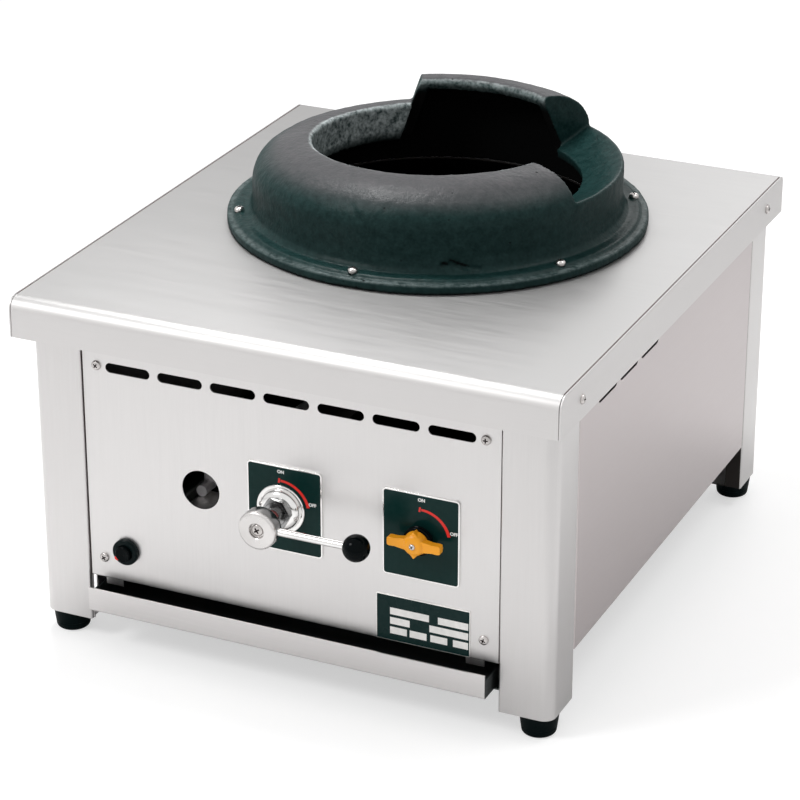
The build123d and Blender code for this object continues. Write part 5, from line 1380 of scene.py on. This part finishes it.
@dataclass(frozen=True)
class DialPlate:
    """A glossy dark plate with a bright rim, a red arc and its ON and OFF."""

    node: str
    neck: Point2
    neck_hole: float
    arc_radius: float
    arc_sweep: float = 77.0
    face_y: float = -233.5
    panel_y: float = -230.0
    rim: float = 1.1
    corner: float = 3.0
    on_shift: Point2 = (0.2, 30.8)
    off_shift: Point2 = (26.4, 8.2)
    word_size: float = 3.6

    def build(self) -> None:
        """Makes the rim plate and its dark face."""
        low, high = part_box(self.node)
        x0, z0, x1, z1 = low.x / MM, low.z / MM, high.x / MM, high.z / MM
        outline = rounded_rectangle(x0, z0, x1, z1, self.corner)
        rim = MeshMaker().prism(outline, Axis.Y, high.y / MM, self.face_y)
        circle = arc(*self.neck, self.neck_hole, 0, 352.5, 47)
        hole = MeshMaker().prism(circle, Axis.Y, self.face_y - 2, self.panel_y)
        plate = carve(rim.build(self.node + "_rim"), hole)
        finish_piece(soften(plate, 0.2), CHROME, "base", self.node)
        edge = self.rim
        outline = rounded_rectangle(x0 + edge, z0 + edge, x1 - edge, z1 - edge, self.corner - edge)
        face = MeshMaker().prism(outline, Axis.Y, self.face_y + 0.02, self.face_y - 0.14)
        finish_piece(carve(face.build(self.node + "_face"), hole), DIAL, "base")

    def dress(self) -> None:
        """Prints the arc, its tick and the two words."""
        x, z = self.neck
        steps = 30
        outer, inner = [], []
        for i in range(steps + 1):
            t = i / steps
            a = math.radians(90 - self.arc_sweep * t)
            wide = 0.95 + 0.35 * t
            for edge, radius in ((outer, self.arc_radius + wide), (inner, self.arc_radius - wide)):
                edge.append((x + radius * math.cos(a), z + radius * math.sin(a)))
        print_y = self.face_y - 0.13
        mark = MeshMaker().prism(outer + inner[::-1], Axis.Y, print_y, print_y - 0.06)
        top = z + self.arc_radius
        tick = [(x - 2.2, top - 1.9), (x - 0.7, top - 1.9), (x - 0.2, top + 2.0), (x - 1.7, top + 2.0)]
        mark.prism(tick, Axis.Y, print_y, print_y - 0.05)
        finish_piece(mark.build(self.node + "_arc"), PRINT_RED, "base")
        for word, shift in (("ON", self.on_shift), ("OFF", self.off_shift)):
            self.word(word, (x + shift[0], z + shift[1]), print_y)

    def word(self, text: str, spot: Point2, y: float) -> None:
        """Prints a switch word, centred on a point.

        Args:
            text: The word.
            spot: The centre, as X and Z in millimetres.
            y: The face that it is printed on.
        """
        curve = bpy.data.curves.new(f"{self.node}_{text}", "FONT")
        curve.body = text
        curve.size = self.word_size * MM
        curve.extrude = 0.03 * MM
        curve.offset = 0.16 * MM
        curve.align_x = "CENTER"
        curve.align_y = "CENTER"
        source = linked("word_source", curve)
        graph = bpy.context.evaluated_depsgraph_get()
        mesh = bpy.data.meshes.new_from_object(source.evaluated_get(graph))
        bpy.data.curves.remove(curve)
        upright = Matrix.Rotation(math.radians(90), 4, "X")
        mesh.transform(Matrix.Translation(Vector((spot[0], y, spot[1])) * MM) @ upright)
        finish_piece(linked(f"{self.node}_{text}", mesh), PRINT_WHITE, "base")


@dataclass(frozen=True)
class MainValve:
    """The chrome escutcheon, nut, hub, rod and the black ball of the main lever."""

    axis: Point2 = (-5.0, 150.0)
    rim_y: float = -233.5
    hub_front: float = -275.0
    hub_radius: float = 15.5
    rod_y: float = -268.5
    ball_x: float = 74.0
    ball_radius: float = 10.5

    def build(self) -> None:
        """Makes the dish, the nut, the hub and the ball."""
        rim, crown = self.rim_y, self.rim_y - 6.5
        dish = [(20.0, rim), (20.0, rim - 0.9)] + arc(18.9, rim - 1.0, 1.0, 0, -90, 4, ry=0.7)
        dish += [(17.6, rim - 1.5), (16.8, rim - 1.3)] + arc(10.6, rim - 1.4, 6.0, 0, -90, 10, ry=5.1)
        dish += [(9.1, crown), (9.1, crown + 1.4), (14.0, rim - 1.0), (18.6, rim)]
        dish_obj = MeshMaker().turned(dish, Axis.Y, self.axis, 96).build("valve_escutcheon_dish")
        finish_piece(dish_obj, CHROME, "base", "valve_escutcheon")
        refined("neck_nut", CHROME_DARK_REFLECTION, edge=0.4)
        front, big = self.hub_front, self.hub_radius
        hub = [(0.0, front + 3.2), (5.6, front + 3.0), (6.0, front + 2.6), (6.0, front + 0.5), (6.5, front)]
        hub += [(12.6, front)] + arc(13.1, front + 2.4, big - 13.1, -90, 0, 7, ry=2.4)
        hub += [(big, front + 10.8)] + arc(13.6, front + 10.8, big - 13.6, 0, 90, 5, ry=2.0)
        hub += [(8.6, front + 20.4), (8.0, front + 21.4), (8.0, front + 24.5), (7.5, front + 25.0),
                (0.0, front + 25.0)]
        hub_obj = MeshMaker().turned(hub, Axis.Y, self.axis, 96).build("lever_hub_turned", 28.0)
        finish_piece(hub_obj, CHROME_SATIN, "lever", "lever_hub")
        # the hub's rear gets the painted dark reflection
        second_finish(hub_obj, CHROME_DARK_REFLECTION, lambda centre, normal: centre.y > front + 4.0)
        self.ball()

    def ball(self) -> None:
        """Makes the ball with its small flat round the rod."""
        r = self.ball_radius
        start = math.degrees(math.asin(3.4 / r))
        sphere = [(r * math.sin(math.radians(a)), self.ball_x - r * math.cos(math.radians(a)))
                  for a in [start + (180 - start) * i / 30 for i in range(31)]]
        first = sphere[0]
        profile = [(0.0, first[1] + 2.0), (3.05, first[1] + 2.0), (3.05, first[1] + 0.15)] + sphere
        ball = MeshMaker().turned(profile, Axis.X, (self.rod_y, self.axis[1]), 64).build("lever_ball_grip")
        finish_piece(ball, BLACK_GLOSS, "lever", "lever_ball")

    def dress(self) -> None:
        """Adds the rod, its screw and the escutcheon's two small screws."""
        refined("lever_rod", CHROME, edge=0.3)
        x, z = self.axis
        head = CrossHead(radius=4.8, height=2.2, shank=2.0, length=12.0)
        head.place("lever_screw", [((x, self.hub_front + 3.0, z), (0.0, -1.0, 0.0))], "lever", "lever_screw")
        spots = [((x + side * 14.2, self.rim_y - 4.0, z - side * 3.2), (side * 0.35, -0.93, 0.0))
                 for side in (-1, 1)]
        CrossHead(radius=2.3, height=1.5, shank=1.1, length=1.5).place("escutcheon_screws", spots, "base")
        dress_nodes(CHROME_DARK_REFLECTION, "main_valve_stem")


@dataclass(frozen=True)
class PilotTap:
    """The yellow wing knob on its black collar."""

    axis: Point2 = (110.5, 150.0)
    collar_rear: float = -237.0
    collar_front: float = -241.5
    knob_front: float = -250.0
    voxel: float = 0.35
    soft_passes: int = 4

    def build(self) -> None:
        """Makes the collar and the moulded wing."""
        rear, front = self.collar_rear, self.collar_front
        collar = [(4.1, rear), (11.0, rear), (11.5, rear - 0.5), (11.5, rear - 1.5), (11.15, rear - 1.8),
                  (11.15, rear - 2.2), (11.5, rear - 2.5), (11.5, front + 1.0)]
        collar += arc(10.5, front + 1.0, 1.0, 0, -90, 4) + [(4.1, front)]
        collar_obj = MeshMaker().turned(collar, Axis.Y, self.axis, 80).build("knob_collar_turned")
        finish_piece(collar_obj, BLACK_GLOSS, "pilot_turn", "knob_collar")
        self.wing()

    def wing(self) -> None:
        """Makes the wing: a peaked round hub between two grips that widen at their tips."""
        x, z = self.axis
        rear, front = self.collar_front, self.knob_front
        hub = [(0.0, rear), (9.4, rear), (9.6, rear - 1.0), (8.6, rear - 5.0)]
        hub += arc(4.0, rear - 5.0, 4.5, 0, -90, 8, ry=-(front - rear) - 5.0) + [(0.0, front)]
        maker = MeshMaker().turned(hub, Axis.Y, self.axis, 64)
        peak = [(x - 10.5, z), (x, z - 11.0), (x + 10.5, z), (x, z + 11.0)]
        maker.prism(peak, Axis.Y, front + 2.2, rear - 0.02)
        right = [(0.0, 5.4), (9.0, 4.2), (15.0, 3.3), (19.5, 3.5), (21.2, 3.0), (21.5, 0.0)]
        outline = right + [(u, -v) for u, v in right[-2::-1]]
        for side in (-1, 1):
            grip = [(x + side * u, z + side * v) for u, v in outline]
            maker.prism(grip, Axis.Y, front + 1.7, rear - 0.6)
        knob = recast(maker.build("pilot_knob_wing"), self.voxel, self.soft_passes)
        finish_piece(knob, YELLOW, "pilot_turn", "pilot_knob")

    def dress(self) -> None:
        """Adds the wing's small screw."""
        x, z = self.axis
        spots = [((x, self.knob_front + 0.1, z), (0.0, -1.0, 0.0))]
        head = CrossHead(radius=2.4, height=1.4, shank=1.2, length=7.0)
        head.place("pilot_knob_screw", spots, "pilot_turn", "pilot_knob_screw")
        dress_nodes(BRASS, "pilot_stem")


@dataclass(frozen=True)
class Igniter:
    """The black push button in its bezel, with a red mark."""

    axis: Point2 = (-141.0, 84.5)
    panel_y: float = -232.0

    def build(self) -> None:
        """Makes the bezel and the dished button."""
        panel, front = self.panel_y, self.panel_y - 4.5
        body = [(0.0, panel + 46.0), (8.1, panel + 46.0), (8.5, panel + 45.6), (8.5, panel), (10.75, panel),
                (10.75, front + 1.4)]
        body += arc(9.35, front + 1.4, 1.4, 0, -90, 5)
        body += [(6.9, front), (6.58, front + 0.4), (6.58, front + 12.0), (0.0, front + 12.0)]
        bezel = MeshMaker().turned(body, Axis.Y, self.axis, 72).build("igniter_bezel")
        finish_piece(bezel, BLACK_SATIN, "base", "igniter_body")
        tip = panel - 8.0
        button = [(0.0, panel + 3.2), (6.5, panel + 3.2), (6.5, tip + 1.0)]
        button += arc(5.5, tip + 1.0, 1.0, 0, -90, 4)
        button += [(4.6, tip + 0.15), (2.5, tip + 0.5), (0.0, tip + 0.6)]
        knob = MeshMaker().turned(button, Axis.Y, self.axis, 56).build("igniter_button_dished")
        finish_piece(knob, BLACK_GLOSS, "button", "igniter_button")

    def dress(self) -> None:
        """Adds the red mark on the bezel's lower left."""
        x, z = self.axis
        outline = arc(x - 6.6, z - 5.4, 2.1, 0, 345, 23, ry=1.8)
        mark = MeshMaker().prism(outline, Axis.Y, self.panel_y - 4.2, self.panel_y - 4.9)
        finish_piece(soften(mark.build("igniter_mark"), 0.12), PRINT_RED, "base")


@dataclass(frozen=True)
class RatingPlate:
    """The rating plate: a dark face with rows of blank fields."""

    face_y: float = -232.8
    rows: tuple[tuple[float, float, tuple[Point2, ...]], ...] = (
        (0.27, 0.42, ((0.15, 0.565), (0.66, 0.98))),
        (0.48, 0.63, ((0.15, 0.36), (0.57, 0.98))),
        (0.69, 0.84, ((0.15, 0.33), (0.36, 0.54), (0.58, 0.76), (0.82, 0.98))),
    )

    def build(self) -> None:
        """Makes the metal plate and its dark face."""
        refined("rating_plate", LABEL, edge=0.15)
        low, high = self.corners()
        outline = rounded_rectangle(low[0] + 0.7, low[1] + 0.7, high[0] - 0.7, high[1] - 0.7, 0.6, 3)
        face = MeshMaker().prism(outline, Axis.Y, self.face_y + 0.02, self.face_y - 0.08)
        finish_piece(face.build("rating_plate_face"), LABEL_DARK, "base")

    def dress(self) -> None:
        """Adds the blank fields."""
        low, high = self.corners()
        wide, tall = high[0] - low[0], high[1] - low[1]
        fields = MeshMaker()
        for top, bottom, spans in self.rows:
            for left, right in spans:
                outline = rectangle(low[0] + left * wide, high[1] - bottom * tall,
                                    low[0] + right * wide, high[1] - top * tall)
                fields.prism(outline, Axis.Y, self.face_y - 0.07, self.face_y - 0.11)
        finish_piece(fields.build("rating_plate_fields"), LABEL_FIELD, "base")

    def corners(self) -> tuple[Point2, Point2]:
        """Returns the plate's lower left and upper right corner, as X and Z in millimetres."""
        low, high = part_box("rating_plate")
        return (low.x / MM, low.z / MM), (high.x / MM, high.z / MM)


@dataclass(frozen=True)
class DripTray:
    """The slide-out tray and its two runners."""

    def build(self) -> None:
        """Makes a finer copy of the tray, with painted shade on the pan behind its bright front."""
        tray = refined("drip_tray", SHEET_TRAY, edge=0.3)
        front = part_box("drip_tray")[0].y / MM
        second_finish(tray, SHEET_SHADOWED, lambda centre, normal: centre.y > front + 1.0)

    def dress(self) -> None:
        """Makes finer copies of the runners, the right one in painted shade."""
        refined("tray_runner_left", SHEET_PLAIN, edge=0.2)
        refined("tray_runner_right", SHEET_SHADOWED, edge=0.2)


# ------------------------------------------------------------------ studio
@dataclass(frozen=True)
class Studio:
    """Camera, floor, world and soft lights; their spots and the lamps' sizes are in metres."""

    camera_spot: Point3 = (0.922327, -2.047975, 1.164711)
    right: Point3 = (0.90956, 0.41556, 0.0)
    up: Point3 = (-0.17188, 0.37621, 0.91045)
    forward: Point3 = (-0.37835, 0.82812, -0.41361)
    lens: float = 136.02
    aim: Point3 = (0.0, 0.0, 0.15)
    floor_reach: float = 6000.0
    floor_z: float = -0.05
    floor_tone: float = 0.89
    glow: float = 1.5
    glow_share: float = 0.36
    fill: float = 0.61
    paper: Colour = (1.0, 1.0, 1.0)
    lights: tuple[tuple[str, Point3, float, float], ...] = (
        ("key", (-1.25, -1.6, 1.9), 0.8, 22.0),
        ("crown", (-0.25, 0.03, 1.05), 0.3, 8.0),
        ("right", (0.85, 0.25, 1.55), 0.7, 5.0),
        ("rim", (-0.15, 1.60, 1.10), 0.7, 3.5),
    )

    def build(self) -> None:
        """Makes the camera, the floor and the lights."""
        camera = linked("camera", bpy.data.cameras.new("camera"))
        camera.data.lens = self.lens
        camera.data.sensor_width = 36.0
        camera.data.clip_end = 50.0
        axes = [Vector(self.right), Vector(self.up), -Vector(self.forward)]
        camera.matrix_world = Matrix.Translation(self.camera_spot) @ Matrix(axes).transposed().to_4x4()
        bpy.context.scene.camera = camera
        reach = self.floor_reach
        corners = [(x, y, self.floor_z) for x, y in rectangle(-reach, -reach, reach, reach)]
        floor = MeshMaker().add(corners, [(0, 1, 2, 3)]).build("studio_floor")
        floor.data.materials.append(self.floor_material())
        for name, spot, size, power in self.lights:
            lamp = bpy.data.lights.new(name, "AREA")
            lamp.shape = "DISK"
            lamp.size = size
            lamp.energy = power
            obj = linked(name, lamp)
            obj.location = spot
            obj.rotation_euler = (Vector(self.aim) - Vector(spot)).to_track_quat("-Z", "Y").to_euler()

    def floor_material(self) -> Material:
        """Makes the floor's matt white paper, lit up a little so that it meets the white behind.

        Returns:
            The material.
        """
        shader = Shader("studio_paper")
        tone = self.floor_tone
        cloud = shader.spread(shader.effect(Effect.CASTING).outputs["Mottle"], 0.0, 1.0)
        shader.set(Base_Color=shader.blend(cloud, (tone,) * 3, (tone - 0.01,) * 3), Roughness=0.9,
                   Specular_IOR_Level=0.2)
        seen = shader.node("ShaderNodeLightPath").outputs["Is Camera Ray"]
        share = shader.spread(seen, 0.0, self.glow_share, 0.0, 1.0)
        glow = shader.made("ShaderNodeEmission", "Emission", {"Strength": self.glow})
        mix = shader.made("ShaderNodeMixShader", "Shader",
                          {"Fac": share, 1: shader.surface.outputs["BSDF"], 2: glow})
        shader.link(mix, shader.output.inputs["Surface"])
        return shader.material

    def dress(self) -> None:
        """Sets the world, white to the eye, in reflections and through glass and softer as light."""
        world = bpy.data.worlds.new("studio")
        bpy.context.scene.world = world
        world.use_nodes = True
        sky = Nodes(world.node_tree)
        path = sky.node("ShaderNodeLightPath").outputs
        seen = sky.math("MAXIMUM", path["Is Glossy Ray"], path["Is Transmission Ray"])
        seen = sky.math("MAXIMUM", path["Is Camera Ray"], seen)
        soft, white = (sky.made("ShaderNodeBackground", "Background",
                                {"Color": self.paper, "Strength": power})
                       for power in (self.fill, 1.0))
        mix = sky.made("ShaderNodeMixShader", "Shader", {"Fac": seen, 1: soft, 2: white})
        sky.link(mix, sky.node("ShaderNodeOutputWorld").inputs["Surface"])
        bpy.context.scene.view_settings.view_transform = "Standard"


def main() -> None:
    """Builds and dresses every sub-assembly in order and logs each one."""
    logging.basicConfig(level=logging.INFO, format="%(name)s %(message)s")
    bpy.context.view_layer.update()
    assemblies = [
        Body(), WokRing(), Burner(), GasLine(),
        DialPlate("main_dial_plate", MainValve.axis, neck_hole=9.3, arc_radius=23.5),
        DialPlate("pilot_dial_plate", PilotTap.axis, neck_hole=6.8, arc_radius=23.0),
        MainValve(), PilotTap(), Igniter(), RatingPlate(), DripTray(), Studio(),
    ]
    for assembly in assemblies:
        assembly.build()
        assembly.dress()
        LOG.info("built %s", type(assembly).__name__)


if __name__ == "__main__":
    main()
